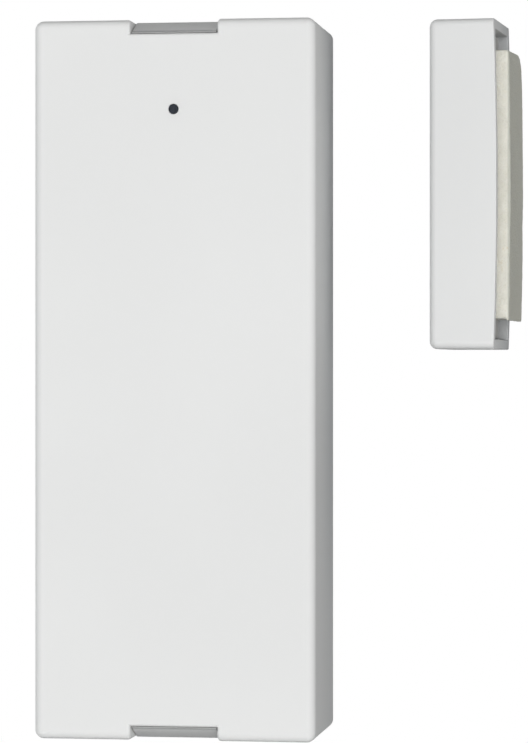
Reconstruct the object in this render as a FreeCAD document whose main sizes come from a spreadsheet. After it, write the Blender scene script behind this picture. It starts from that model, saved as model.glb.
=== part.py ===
import FreeCAD, Part
import os
import Sketcher

# Magnetic door contact: a sensor half on a wall or frame, and the magnet half that the door carries.
# Millimetres. +Z runs up the sensor half, the fronts face -Y, and the magnet half stands on its +X side.
# The origin is the centre of the face that the sensor half's foam pad turns to the wall.

os.makedirs("parts", exist_ok=True)
document = FreeCAD.newDocument("door_contact")

# Driving dimensions

SIZES = [
    ("case_width", 28.4, "sensor case, across the front"),
    ("case_height", 72, "sensor case, bottom to top"),
    ("case_depth", 15, "sensor case, front face to back rim"),
    ("case_wall", 1.5, "cover, side and end walls"),
    ("front_wall", 1.5, "cover, front wall"),
    ("case_round", 0.9, "cover, edges round the front face and front to back"),
    ("notch_width", 8.8, "end slots of the cover"),
    ("notch_drop", 1.42, "end slots, from the end face inwards"),
    ("indicator_drop", 9, "indicator hole, below the top end"),
    ("indicator_hole", 1.05, "indicator hole, diameter"),
    ("boss_wall", 0.7, "boss round the light pipe"),
    ("boss_height", 2.2, "boss behind the front wall"),
    ("pipe_width", 1.9, "light pipe behind the front wall, diameter"),
    ("pipe_recess", 0.15, "light pipe, below the front face"),
    ("pipe_gap", 0.3, "light pipe to the lamp under it"),
    ("rib_width", 1.2, "cover ribs, along the case"),
    ("rib_reach", 0.6, "cover ribs, in from the side walls"),
    ("rib_spread", 36, "cover ribs, between the two of one side"),
    ("press_post", 3, "post over the tamper plunger, diameter"),
    ("cover_fit", 0.15, "running gap between cover and base"),
    ("touch_gap", 0.05, "gap where one moving face meets another"),
    ("wall_pad_thickness", 1, "sensor foam pad, thickness"),
    ("wall_pad_width", 20, "sensor foam pad, width"),
    ("wall_pad_height", 50, "sensor foam pad, height"),
    ("base_thickness", 1.6, "base plate"),
    ("tongue_bevel", 3, "bevelled tip of an end tongue, front to back"),
    ("tongue_edge", 0.15, "blunt edge of the bevelled tip"),
    ("base_rib_width", 0.8, "stiffening ribs of the base"),
    ("base_rib_height", 1.2, "stiffening ribs, above the plate"),
    ("fixing_hole", 3.2, "screw holes of the base, diameter"),
    ("fixing_inset", 2.7, "screw holes, in from the plate's ends"),
    ("post_width", 4.4, "board posts, diameter"),
    ("post_height", 3, "board posts, above the plate"),
    ("post_inset", 2.4, "board posts, in from the board's edges"),
    ("screw_width", 1.9, "board screws, shank diameter"),
    ("screw_depth", 3.8, "board screws, into the posts"),
    ("screw_head_width", 3.6, "board screws, head diameter"),
    ("screw_head_height", 1.3, "board screws, head"),
    ("screw_slot", 0.5, "cross recess, width"),
    ("screw_slot_length", 2.2, "cross recess, length"),
    ("screw_fit", 0.2, "board hole round a screw, radius"),
    ("snug_fit", 0.02, "gap round what is pressed or soldered in"),
    ("board_thickness", 1.6, "circuit board"),
    ("board_side_gap", 0.9, "board to the side walls"),
    ("board_end_gap", 5.6, "board to the end walls"),
    ("cell_width", 20, "coin cell, diameter"),
    ("cell_thickness", 3.2, "coin cell, thickness"),
    ("cell_step", 0.5, "coin cell, thickness of the negative cap"),
    ("cell_cap_inset", 1.1, "coin cell, negative cap in from the edge"),
    ("cell_round", 0.4, "coin cell, rounded edge"),
    ("cell_fit", 0.15, "coin cell to its holder"),
    ("holder_wall", 0.85, "cell holder, ring wall"),
    ("holder_floor", 0.8, "cell holder, floor"),
    ("holder_ring", 2.6, "cell holder, ring above the floor"),
    ("holder_window", 12, "opening in the holder's floor, length"),
    ("finger_slot", 9, "opening in the holder's ring, width"),
    ("leaf_lift", 0.3, "cell above the holder's floor"),
    ("leaf_width", 3.2, "negative contact, width"),
    ("leaf_thickness", 0.25, "contact strips, thickness"),
    ("clip_width", 4, "positive contact, width"),
    ("clip_reach", 6, "positive contact, over the cell"),
    ("clip_foot", 0.8, "positive contact, foot on the board"),
    ("switch_size", 6, "push switches, square side"),
    ("switch_height", 3.5, "push switches, body"),
    ("switch_apart", 12, "push switches, centre to centre"),
    ("plunger_width", 3.2, "tamper plunger, diameter"),
    ("plunger_proud", 0.6, "tamper plunger, above its body when held down"),
    ("plunger_hidden", 2.2, "tamper plunger, inside its body"),
    ("button_width", 3.5, "learn button, diameter"),
    ("button_proud", 1.3, "learn button, above its body"),
    ("button_hidden", 1.2, "learn button, inside its body"),
    ("button_bore", 2.6, "bores of the switches, depth"),
    ("button_fit", 0.06, "gap round a plunger or button"),
    ("terminal_width", 0.7, "switch terminals, width"),
    ("terminal_apart", 4.5, "switch terminals, apart on one side"),
    ("lead_thickness", 0.2, "flat leads, thickness"),
    ("lead_foot", 0.7, "flat leads, foot on the board"),
    ("chip_width", 8.65, "controller body, across the board"),
    ("chip_height", 3.9, "controller body, along the board"),
    ("chip_thickness", 1.5, "controller body, thickness"),
    ("chip_lift", 0.15, "chip bodies above the board"),
    ("chip_lead_width", 0.42, "controller leads, width"),
    ("chip_lead_pitch", 1.27, "controller leads, pitch"),
    ("transistor_width", 1.3, "transistor body, across the board"),
    ("transistor_height", 2.9, "transistor body, along the board"),
    ("transistor_thickness", 1, "transistor body, thickness"),
    ("can_width", 8.2, "resonator can, diameter"),
    ("can_rim", 0.5, "resonator can, rim beyond the can"),
    ("can_height", 3.3, "resonator can, height"),
    ("coil_width", 4.6, "antenna coil, outer diameter"),
    ("coil_wire", 0.7, "antenna coil, wire diameter"),
    ("coil_pitch", 1.6, "antenna coil, pitch"),
    ("coil_length", 12.8, "antenna coil, length"),
    ("coil_lift", 0.5, "antenna coil above the board"),
    ("coil_inset", 0.7, "antenna coil, in from the board's edge"),
    ("capacitor_width", 4, "storage capacitor, diameter"),
    ("capacitor_height", 5.4, "storage capacitor, height"),
    ("capacitor_base", 4.3, "storage capacitor, square base"),
    ("capacitor_floor", 0.7, "storage capacitor, thickness of the base"),
    ("capacitor_right", 5.4, "storage capacitor, right of the centre line"),
    ("capacitor_inset", 2.9, "storage capacitor, below the board's top"),
    ("lamp_width", 2, "indicator lamp, across"),
    ("lamp_height", 1.25, "indicator lamp, along the board"),
    ("lamp_body", 0.5, "indicator lamp, body"),
    ("lamp_lens", 0.4, "indicator lamp, lens above the body"),
    ("small_length", 1.6, "chip resistors and capacitors, length"),
    ("small_width", 0.8, "chip resistors and capacitors, width"),
    ("small_thickness", 0.5, "chip resistors, thickness"),
    ("small_pitch", 1.7, "chip resistors and capacitors, apart"),
    ("small_gap", 0.4, "antenna coil and reed capsule, to the parts beside them"),
    ("reed_width", 1.8, "reed capsule, diameter"),
    ("reed_length", 10, "reed capsule, length"),
    ("reed_glass", 0.25, "reed capsule, glass wall"),
    ("reed_seal", 1.1, "reed capsule, solid ends"),
    ("reed_lift", 0.35, "reed capsule above the board"),
    ("reed_inset", 1.6, "reed capsule's axis, in from the board's edge"),
    ("reed_drop", 19.5, "reed capsule's centre, below the top end"),
    ("reed_wire", 0.5, "reed leads, diameter"),
    ("reed_span", 15, "reed leads, from bend to bend"),
    ("reed_tail", 0.7, "reed leads behind the board"),
    ("blade_width", 0.9, "reed blades, width"),
    ("blade_thickness", 0.18, "reed blades, thickness"),
    ("blade_overlap", 1, "reed blades, overlap"),
    ("blade_gap", 0.06, "reed blades, contact gap"),
    ("magnet_apart", 10.88, "sensor half to magnet half, gap between the cases"),
    ("magnet_setback", 4.5, "magnet half, behind the sensor's front face"),
    ("magnet_turn", 4.35, "magnet half, turned away to the right, degrees"),
    ("magnet_low", 3.07, "magnet half, lower end above the sensor's middle"),
    ("shell_length", 33, "magnet half, bottom to top"),
    ("shell_depth", 10.6, "magnet half, front to back"),
    ("shell_thickness", 6.55, "magnet half, at the ends of its open rim"),
    ("shell_wall", 1, "magnet half, walls"),
    ("shell_round", 0.8, "magnet half, outer edges but those of the open rim"),
    ("shell_crown", 0.3, "magnet half, bow of its open rim"),
    ("carrier_sink", 0.9, "magnet carrier, below the open rim"),
    ("carrier_plate", 1, "magnet carrier, plate"),
    ("carrier_fit", 0.1, "magnet carrier to the walls round it"),
    ("cradle_wall", 0.8, "magnet carrier, wall round the magnet"),
    ("cradle_height", 2, "magnet carrier, wall above the plate"),
    ("magnet_length", 20, "bar magnet, length"),
    ("magnet_width", 6, "bar magnet, width"),
    ("magnet_thickness", 3, "bar magnet, thickness"),
    ("magnet_round", 0.3, "bar magnet, rounded edges"),
    ("door_pad_proud", 1.4, "magnet foam pad, beyond the ends of the rim"),
    ("door_pad_width", 7.16, "magnet foam pad, front to back"),
    ("door_pad_front", 1.87, "magnet foam pad, behind the shell's front face"),
    ("door_pad_length", 26.9, "magnet foam pad, length"),
]

sheet = document.addObject("Spreadsheet::Sheet", "sizes")
for row, (alias, value, note) in enumerate(SIZES, start=1):
    sheet.set(f"A{row}", note)
    sheet.set(f"B{row}", str(value))
    sheet.setAlias(f"B{row}", alias)
document.recompute()

# Levels, as distances in front of the wall

CASE_BACK = "sizes.wall_pad_thickness"
CASE_FRONT = f"({CASE_BACK} + sizes.case_depth)"
COVER_INSIDE = f"({CASE_FRONT} - sizes.front_wall)"
PLATE_FRONT = f"({CASE_BACK} + sizes.base_thickness)"
BOARD_BACK = f"({PLATE_FRONT} + sizes.post_height)"
BOARD_FRONT = f"({BOARD_BACK} + sizes.board_thickness)"

# Half sizes that several pieces share

INSIDE_X = "(sizes.case_width / 2 - sizes.case_wall)"
INSIDE_Z = "(sizes.case_height / 2 - sizes.case_wall)"
PLATE_X = f"({INSIDE_X} - sizes.cover_fit)"
PLATE_Z = f"({INSIDE_Z} - sizes.cover_fit)"
BOARD_X = f"({INSIDE_X} - sizes.board_side_gap)"
BOARD_Z = f"({INSIDE_Z} - sizes.board_end_gap)"
POST_X = f"({BOARD_X} - sizes.post_inset)"
POST_Z = f"({BOARD_Z} - sizes.post_inset)"
FIXING_Z = f"({PLATE_Z} - sizes.fixing_inset)"
LAMP_Z = "(sizes.case_height / 2 - sizes.indicator_drop)"

# Rows of parts up the board, with the space that is left shared out between them

HOLDER_RADIUS = "(sizes.cell_width / 2 + sizes.cell_fit + sizes.holder_wall)"
SWITCH_SPAN = "(sizes.switch_size + 2 * sizes.lead_foot)"
CHIP_SPAN = "(sizes.chip_height + 2 * sizes.lead_foot)"
CAN_SPAN = "(sizes.can_width + 2 * sizes.can_rim)"
TOP_ZONE = "(sizes.capacitor_inset + sizes.capacitor_base / 2)"
ROW_GAP = f"((2 * ({BOARD_Z} - {HOLDER_RADIUS}) - {SWITCH_SPAN} - {CHIP_SPAN} - {CAN_SPAN} - {TOP_ZONE}) / 5)"
CELL_Z = f"({ROW_GAP} + {HOLDER_RADIUS} - {BOARD_Z})"
SWITCH_Z = f"({CELL_Z} + {HOLDER_RADIUS} + {ROW_GAP} + {SWITCH_SPAN} / 2)"
CHIP_Z = f"({SWITCH_Z} + {SWITCH_SPAN} / 2 + {ROW_GAP} + {CHIP_SPAN} / 2)"
CAN_Z = f"({CHIP_Z} + {CHIP_SPAN} / 2 + {ROW_GAP} + {CAN_SPAN} / 2)"
TAMPER_X = "(-sizes.switch_apart / 2)"
LEARN_X = "(sizes.switch_apart / 2)"
CELL_BACK = f"({BOARD_FRONT} + sizes.holder_floor + sizes.leaf_lift)"
CELL_FRONT = f"({CELL_BACK} + sizes.cell_thickness)"
SWITCH_TOP = f"({BOARD_FRONT} + sizes.switch_height)"
PLUNGER_TOP = f"({SWITCH_TOP} + sizes.plunger_proud)"
LAMP_TOP = f"({BOARD_FRONT} + sizes.lamp_body + sizes.lamp_lens)"
REED_X = f"({BOARD_X} - sizes.reed_inset)"
REED_Z = "(sizes.case_height / 2 - sizes.reed_drop)"
REED_LEVEL = f"({BOARD_FRONT} + sizes.reed_lift + sizes.reed_width / 2)"
COIL_X = f"(sizes.coil_inset + sizes.coil_width / 2 - {BOARD_X})"
COIL_LEVEL = f"({BOARD_FRONT} + sizes.coil_lift + sizes.coil_width / 2)"
COIL_RADIUS = "((sizes.coil_width - sizes.coil_wire) / 2)"

# Places between the antenna coil on the left and the reed capsule on the right

COIL_SIDE = f"({COIL_X} + sizes.coil_width / 2 + sizes.small_gap)"
REED_SIDE = f"({REED_X} - sizes.reed_width / 2 - sizes.small_gap)"
RESISTOR_X = f"({REED_SIDE} - sizes.small_length / 2)"
CHIP_X = f"(({COIL_SIDE} + {REED_SIDE} - sizes.small_length) / 2)"
CAN_X = f"({REED_SIDE} - {CAN_SPAN} / 2)"
TRANSISTOR_X = f"({COIL_SIDE} + sizes.lead_foot + sizes.transistor_width / 2)"

TOLERANCE = 1e-6
pieces = []


# Helpers for bodies, sketches and features

def body_of(name):
    body = document.addObject("PartDesign::Body", name)
    body.Label = name
    pieces.append(body)
    return body


def sketch_on(body, role, level="0"):
    plane = next(part for part in body.Origin.OriginFeatures if part.Role == role)
    sketch = body.newObject("Sketcher::SketchObject", f"{body.Name}_sketch")
    sketch.AttachmentSupport = [(plane, "")]
    sketch.MapMode = "FlatFace"
    sketch.setExpression("AttachmentOffset.Base.z", level)
    return sketch


def bind(sketch, kind, geometry, vertex, expression):
    value = float(sketch.evalExpression(expression))
    number = sketch.addConstraint(Sketcher.Constraint(kind, -1, 1, geometry, vertex, value))
    sketch.setExpression(f"Constraints[{number}]", expression)


def outline(sketch, corners):
    first = sketch.GeometryCount
    points = []
    for across, up in corners:
        point = FreeCAD.Vector(float(sketch.evalExpression(across)), float(sketch.evalExpression(up)), 0)
        points.append(point)
    for start, end in zip(points, points[1:] + points[:1]):
        sketch.addGeometry(Part.LineSegment(start, end), False)
    for number, (across, up) in enumerate(corners):
        following = (number + 1) % len(corners)
        sketch.addConstraint(Sketcher.Constraint("Coincident", first + number, 2, first + following, 1))
        bind(sketch, "DistanceX", first + number, 1, across)
        bind(sketch, "DistanceY", first + number, 1, up)


def rectangle(sketch, left, low, right, high):
    outline(sketch, [(left, low), (right, low), (right, high), (left, high)])


def circle(sketch, across, up, radius):
    centre = FreeCAD.Vector(float(sketch.evalExpression(across)), float(sketch.evalExpression(up)), 0)
    value = float(sketch.evalExpression(radius))
    geometry = sketch.addGeometry(Part.Circle(centre, FreeCAD.Vector(0, 0, 1), value), False)
    bind(sketch, "DistanceX", geometry, 3, across)
    bind(sketch, "DistanceY", geometry, 3, up)
    number = sketch.addConstraint(Sketcher.Constraint("Radius", geometry, value))
    sketch.setExpression(f"Constraints[{number}]", radius)


def pad(body, sketch, length, backwards=False, both_ways=False):
    before = 0 if body.Shape.isNull() else body.Shape.Volume
    feature = body.newObject("PartDesign::Pad", f"{body.Name}_pad")
    feature.Profile = sketch
    feature.setExpression("Length", length)
    feature.Reversed = backwards
    feature.Midplane = both_ways
    document.recompute()
    if not feature.Shape.Volume > before:
        raise RuntimeError(f"a pad of {body.Name} adds nothing")
    return feature


def pocket(body, sketch, length, backwards=False, both_ways=False):
    before = body.Shape.Volume
    feature = body.newObject("PartDesign::Pocket", f"{body.Name}_pocket")
    feature.Profile = sketch
    feature.setExpression("Length", length)
    feature.Reversed = backwards
    feature.Midplane = both_ways
    document.recompute()
    if not feature.Shape.Volume < before:
        raise RuntimeError(f"a pocket of {body.Name} cuts nothing")
    return feature


def round_edges(body, radius, chosen):
    base = body.Tip
    names = [f"Edge{number}" for number, edge in enumerate(base.Shape.Edges, start=1) if chosen(edge)]
    feature = body.newObject("PartDesign::Fillet", f"{body.Name}_round")
    feature.Base = (base, names)
    feature.setExpression("Radius", radius)
    document.recompute()


def runs_along(edge, axis):
    span = edge.Vertexes[-1].Point - edge.Vertexes[0].Point
    return abs(abs(span.dot(axis)) - edge.Length) < TOLERANCE


def lies_at(edge, axis, place):
    return all(abs(vertex.Point.dot(axis) - place) < TOLERANCE for vertex in edge.Vertexes)


X_AXIS = FreeCAD.Vector(1, 0, 0)
Y_AXIS = FreeCAD.Vector(0, 1, 0)
Z_AXIS = FreeCAD.Vector(0, 0, 1)


# Helpers for simple solids

def block(name, left, low, level, width, height, depth):
    solid = document.addObject("Part::Box", name)
    solid.setExpression("Length", width)
    solid.setExpression("Width", depth)
    solid.setExpression("Height", height)
    solid.setExpression("Placement.Base.x", left)
    solid.setExpression("Placement.Base.y", f"-({level}) - ({depth})")
    solid.setExpression("Placement.Base.z", low)
    return solid


def centred_block(name, across, up, level, width, height, depth):
    return block(name, f"{across} - ({width}) / 2", f"{up} - ({height}) / 2", level, width, height, depth)


def forward_rod(name, across, up, level, radius, length):
    solid = document.addObject("Part::Cylinder", name)
    solid.Placement = FreeCAD.Placement(FreeCAD.Vector(0, 0, 0), FreeCAD.Rotation(X_AXIS, 90))
    solid.setExpression("Radius", radius)
    solid.setExpression("Height", length)
    solid.setExpression("Placement.Base.x", across)
    solid.setExpression("Placement.Base.y", f"-({level})")
    solid.setExpression("Placement.Base.z", up)
    return solid


def upright_rod(name, across, low, level, radius, length):
    solid = document.addObject("Part::Cylinder", name)
    solid.setExpression("Radius", radius)
    solid.setExpression("Height", length)
    solid.setExpression("Placement.Base.x", across)
    solid.setExpression("Placement.Base.y", f"-({level})")
    solid.setExpression("Placement.Base.z", low)
    return solid


def fused(name, solids):
    result = document.addObject("Part::MultiFuse", name)
    result.Shapes = solids
    result.Refine = True
    return result


def cut(name, base, tool):
    result = document.addObject("Part::Cut", name)
    result.Base = base
    result.Tool = tool
    return result


def group(name, solids):
    result = document.addObject("Part::Compound", name)
    result.Links = solids
    return result


def keep(solid, name):
    solid.Label = name
    pieces.append(solid)


# Front cover of the sensor half

def front_cover():
    body = body_of("front_cover")
    outside = sketch_on(body, "XZ_Plane", CASE_BACK)
    rectangle(outside, "-sizes.case_width / 2", "-sizes.case_height / 2",
              "sizes.case_width / 2", "sizes.case_height / 2")
    pad(body, outside, "sizes.case_depth")
    front = -float(sheet.evalExpression(CASE_FRONT))
    round_edges(body, "sizes.case_round", lambda edge: (
        runs_along(edge, Y_AXIS) or lies_at(edge, Y_AXIS, front)))
    inside = sketch_on(body, "XZ_Plane", CASE_BACK)
    rectangle(inside, f"-{INSIDE_X}", f"-{INSIDE_Z}", INSIDE_X, INSIDE_Z)
    pocket(body, inside, "sizes.case_depth - sizes.front_wall", backwards=True)
    slots = sketch_on(body, "XZ_Plane", CASE_BACK)
    beyond = "(sizes.case_height / 2 + sizes.notch_drop)"
    inner = "(sizes.case_height / 2 - sizes.notch_drop)"
    rectangle(slots, "-sizes.notch_width / 2", inner, "sizes.notch_width / 2", beyond)
    rectangle(slots, "-sizes.notch_width / 2", f"-{beyond}", "sizes.notch_width / 2", f"-{inner}")
    pocket(body, slots, "sizes.case_depth", backwards=True)
    wall_slots = sketch_on(body, "XZ_Plane", CASE_BACK)
    overlap = "(sizes.case_height / 2 - sizes.case_wall - sizes.cover_fit)"
    rectangle(wall_slots, "-sizes.notch_width / 2", overlap, "sizes.notch_width / 2", beyond)
    rectangle(wall_slots, "-sizes.notch_width / 2", f"-{beyond}", "sizes.notch_width / 2", f"-{overlap}")
    pocket(body, wall_slots, "sizes.case_depth - sizes.front_wall", backwards=True)
    cover_boss(body)
    cover_ribs(body)


def cover_boss(body):
    boss = sketch_on(body, "XZ_Plane", COVER_INSIDE)
    circle(boss, "0", LAMP_Z, "(sizes.pipe_width / 2 + sizes.snug_fit + sizes.boss_wall)")
    pad(body, boss, "sizes.boss_height", backwards=True)
    press = sketch_on(body, "XZ_Plane", COVER_INSIDE)
    circle(press, TAMPER_X, SWITCH_Z, "sizes.press_post / 2")
    pad(body, press, f"{COVER_INSIDE} - {PLUNGER_TOP} - sizes.touch_gap", backwards=True)
    bore = sketch_on(body, "XZ_Plane", f"{COVER_INSIDE} - sizes.boss_height")
    circle(bore, "0", LAMP_Z, "(sizes.pipe_width / 2 + sizes.snug_fit)")
    pocket(body, bore, "sizes.boss_height", backwards=True)
    hole = sketch_on(body, "XZ_Plane", COVER_INSIDE)
    circle(hole, "0", LAMP_Z, "sizes.indicator_hole / 2")
    pocket(body, hole, "sizes.front_wall", backwards=True)


def cover_ribs(body):
    ribs = sketch_on(body, "XZ_Plane", COVER_INSIDE)
    wall = f"({INSIDE_X} + sizes.case_wall / 2)"
    reach = f"({INSIDE_X} - sizes.rib_reach)"
    for centre in ("sizes.rib_spread / 2", "(-sizes.rib_spread / 2)"):
        low = f"({centre} - sizes.rib_width / 2)"
        high = f"({centre} + sizes.rib_width / 2)"
        rectangle(ribs, reach, low, wall, high)
        rectangle(ribs, f"-{wall}", low, f"-{reach}", high)
    pad(body, ribs, f"{COVER_INSIDE} - {PLATE_FRONT} - sizes.cover_fit", backwards=True)


# Light pipe: a thin pin in the indicator hole on a thicker stem that ends over the lamp

def light_pipe():
    pin = forward_rod("pipe_pin", "0", LAMP_Z, COVER_INSIDE, "sizes.indicator_hole / 2 - sizes.snug_fit",
                      "sizes.front_wall - sizes.pipe_recess")
    stem_start = f"({LAMP_TOP} + sizes.pipe_gap)"
    stem = forward_rod("pipe_stem", "0", LAMP_Z, stem_start, "sizes.pipe_width / 2",
                       f"{COVER_INSIDE} - {stem_start}")
    keep(fused("pipe", [pin, stem]), "light_pipe")


# Base of the sensor half: plate, end tongues, posts, ribs and screw holes

def rear_base():
    body = body_of("rear_base")
    plate = sketch_on(body, "XZ_Plane", CASE_BACK)
    rectangle(plate, f"-{PLATE_X}", f"-{PLATE_Z}", PLATE_X, PLATE_Z)
    pad(body, plate, "sizes.base_thickness")
    half_tongue = "(sizes.notch_width / 2 - sizes.cover_fit)"
    tongue_out = "(sizes.case_height / 2 - sizes.tongue_edge / 3)"
    tongue_in = "(sizes.case_height / 2 - sizes.notch_drop + sizes.cover_fit)"
    feet = sketch_on(body, "XZ_Plane", CASE_BACK)
    rectangle(feet, f"-{half_tongue}", f"({PLATE_Z} - sizes.case_wall)", half_tongue, tongue_out)
    rectangle(feet, f"-{half_tongue}", f"-{tongue_out}", half_tongue, f"-({PLATE_Z} - sizes.case_wall)")
    pad(body, feet, "sizes.base_thickness")
    tongues = sketch_on(body, "XZ_Plane", CASE_BACK)
    rectangle(tongues, f"-{half_tongue}", tongue_in, half_tongue, tongue_out)
    rectangle(tongues, f"-{half_tongue}", f"-{tongue_out}", half_tongue, f"-{tongue_in}")
    pad(body, tongues, "sizes.case_depth - sizes.cover_fit")
    base_posts(body)
    base_holes(body)
    tip = f"-({CASE_FRONT} - sizes.cover_fit)"
    bevel = sketch_on(body, "YZ_Plane")
    for side in ("", "-"):
        outline(bevel, [(tip, f"{side}({tongue_in} + sizes.tongue_edge)"),
                        (f"{tip} + sizes.tongue_bevel", f"{side}{tongue_out}"),
                        (f"{tip} + sizes.tongue_bevel", f"{side}({tongue_out} + sizes.case_wall)"),
                        (f"{tip} - sizes.case_wall", f"{side}({tongue_out} + sizes.case_wall)"),
                        (f"{tip} - sizes.case_wall", f"{side}({tongue_in} + sizes.tongue_edge)")])
    pocket(body, bevel, "sizes.notch_width", both_ways=True)


def base_posts(body):
    posts = sketch_on(body, "XZ_Plane", PLATE_FRONT)
    for across in (POST_X, f"(-{POST_X})"):
        for up in (POST_Z, f"(-{POST_Z})"):
            circle(posts, across, up, "sizes.post_width / 2")
    pad(body, posts, "sizes.post_height")
    ribs = sketch_on(body, "XZ_Plane", PLATE_FRONT)
    rib_out = f"({POST_X} + sizes.base_rib_width / 2)"
    rib_in = f"({POST_X} - sizes.base_rib_width / 2)"
    rectangle(ribs, rib_in, f"-{POST_Z}", rib_out, POST_Z)
    rectangle(ribs, f"-{rib_out}", f"-{POST_Z}", f"-{rib_in}", POST_Z)
    pad(body, ribs, "sizes.base_rib_height")


def base_holes(body):
    pilots = sketch_on(body, "XZ_Plane", BOARD_BACK)
    circle(pilots, f"-{POST_X}", POST_Z, "(sizes.screw_width / 2 + sizes.snug_fit)")
    circle(pilots, POST_X, f"-{POST_Z}", "(sizes.screw_width / 2 + sizes.snug_fit)")
    pocket(body, pilots, "sizes.screw_depth")
    fixings = sketch_on(body, "XZ_Plane", PLATE_FRONT)
    circle(fixings, "0", FIXING_Z, "sizes.fixing_hole / 2")
    circle(fixings, "0", f"-{FIXING_Z}", "sizes.fixing_hole / 2")
    pocket(body, fixings, "sizes.base_thickness")


# Foam pad between the base and the wall

def sensor_foam_pad():
    solid = centred_block("wall_pad", "0", "0", "0", "sizes.wall_pad_width", "sizes.wall_pad_height",
                          "sizes.wall_pad_thickness")
    keep(solid, "sensor_foam_pad")


# Circuit board with its screw holes and the holes of the wired parts

def circuit_board():
    body = body_of("circuit_board")
    board = sketch_on(body, "XZ_Plane", BOARD_BACK)
    rectangle(board, f"-{BOARD_X}", f"-{BOARD_Z}", BOARD_X, BOARD_Z)
    pad(body, board, "sizes.board_thickness")
    holes = sketch_on(body, "XZ_Plane", BOARD_FRONT)
    circle(holes, f"-{POST_X}", POST_Z, "(sizes.screw_width / 2 + sizes.screw_fit)")
    circle(holes, POST_X, f"-{POST_Z}", "(sizes.screw_width / 2 + sizes.screw_fit)")
    for side in ("+", "-"):
        bend = f"({REED_Z} {side} sizes.reed_span / 2)"
        circle(holes, REED_X, bend, "(sizes.reed_wire / 2 + sizes.snug_fit)")
    circle(holes, f"({COIL_X} + {COIL_RADIUS})", CHIP_Z, "(sizes.coil_wire / 2 + sizes.snug_fit)")
    pocket(body, holes, "sizes.board_thickness")


def board_screws():
    screws = []
    for name, across, up in (("upper", f"-{POST_X}", POST_Z), ("lower", POST_X, f"-{POST_Z}")):
        shank = forward_rod(f"{name}_shank", across, up, f"{BOARD_BACK} - sizes.screw_depth",
                            "sizes.screw_width / 2", "sizes.board_thickness + sizes.screw_depth")
        head = forward_rod(f"{name}_head", across, up, BOARD_FRONT, "sizes.screw_head_width / 2",
                           "sizes.screw_head_height")
        recess_level = f"({BOARD_FRONT} + sizes.screw_head_height / 2)"
        wide = centred_block(f"{name}_slot_across", across, up, recess_level, "sizes.screw_slot_length",
                             "sizes.screw_slot", "sizes.screw_head_height")
        tall = centred_block(f"{name}_slot_up", across, up, recess_level, "sizes.screw_slot",
                             "sizes.screw_slot_length", "sizes.screw_head_height")
        screw = fused(f"{name}_blank", [shank, head])
        cross = fused(f"{name}_cross", [wide, tall])
        screws.append(cut(f"{name}_screw", screw, cross))
    keep(group("screws", screws), "board_screws")


# Reed switch: a glass capsule and two springy blades, each one piece with its lead

def reed_capsule():
    body = body_of("reed_capsule")
    profile = sketch_on(body, "XZ_Plane")
    bore = "(sizes.reed_wire / 2 + sizes.snug_fit)"
    outer = "(sizes.reed_width / 2)"
    room = "(sizes.reed_width / 2 - sizes.reed_glass)"
    end = "(sizes.reed_length / 2)"
    seal = "(sizes.reed_length / 2 - sizes.reed_seal)"
    outline(profile, [(bore, f"-{end}"), (outer, f"-{end}"), (outer, end), (bore, end),
                      (bore, seal), (room, seal), (room, f"-{seal}"), (bore, f"-{seal}")])
    turned = body.newObject("PartDesign::Revolution", "capsule_turned")
    turned.Profile = profile
    turned.ReferenceAxis = (profile, ["V_Axis"])
    turned.Angle = 360
    document.recompute()
    reach = float(sheet.evalExpression(end))
    wide = float(sheet.evalExpression("sizes.reed_width / 2"))
    ends = [reach, -reach]
    round_edges(body, "sizes.reed_width / 2 - sizes.reed_wire", lambda edge: (
        any(lies_at(edge, Z_AXIS, place) for place in ends) and abs(edge.BoundBox.XMax - wide) < TOLERANCE))
    body.setExpression("Placement.Base.x", REED_X)
    body.setExpression("Placement.Base.y", f"-{REED_LEVEL}")
    body.setExpression("Placement.Base.z", REED_Z)


def reed_blade(name, side, lean):
    wire = "sizes.reed_wire / 2"
    bend = f"({REED_Z} {side} sizes.reed_span / 2)"
    sealed = f"({REED_Z} {side} (sizes.reed_length / 2 - sizes.reed_seal))"
    tip = f"({REED_Z} {lean} sizes.blade_overlap / 2)"
    tail = f"({BOARD_BACK} - sizes.reed_tail)"
    straight = "(sizes.reed_span / 2 - sizes.reed_length / 2 + sizes.reed_seal)"
    reach = "(sizes.reed_length / 2 - sizes.reed_seal + sizes.blade_overlap / 2)"
    upward = side == "+"
    lead = upright_rod(f"{name}_lead", REED_X, sealed if upward else bend, REED_LEVEL, wire, straight)
    corner = document.addObject("Part::Sphere", f"{name}_bend")
    corner.setExpression("Radius", wire)
    corner.setExpression("Placement.Base.x", REED_X)
    corner.setExpression("Placement.Base.y", f"-{REED_LEVEL}")
    corner.setExpression("Placement.Base.z", bend)
    leg = forward_rod(f"{name}_leg", REED_X, bend, tail, wire, f"{REED_LEVEL} - {tail}")
    ahead = f"{REED_LEVEL} + sizes.blade_gap / 2"
    behind = f"{REED_LEVEL} - sizes.blade_gap / 2 - sizes.blade_thickness"
    blade = block(f"{name}_blade", f"{REED_X} - sizes.blade_width / 2", tip if upward else sealed,
                  ahead if upward else behind, "sizes.blade_width", reach, "sizes.blade_thickness")
    keep(fused(f"{name}_joined", [lead, corner, leg, blade]), name)


# Coin cell, its holder and its two contacts

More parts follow.
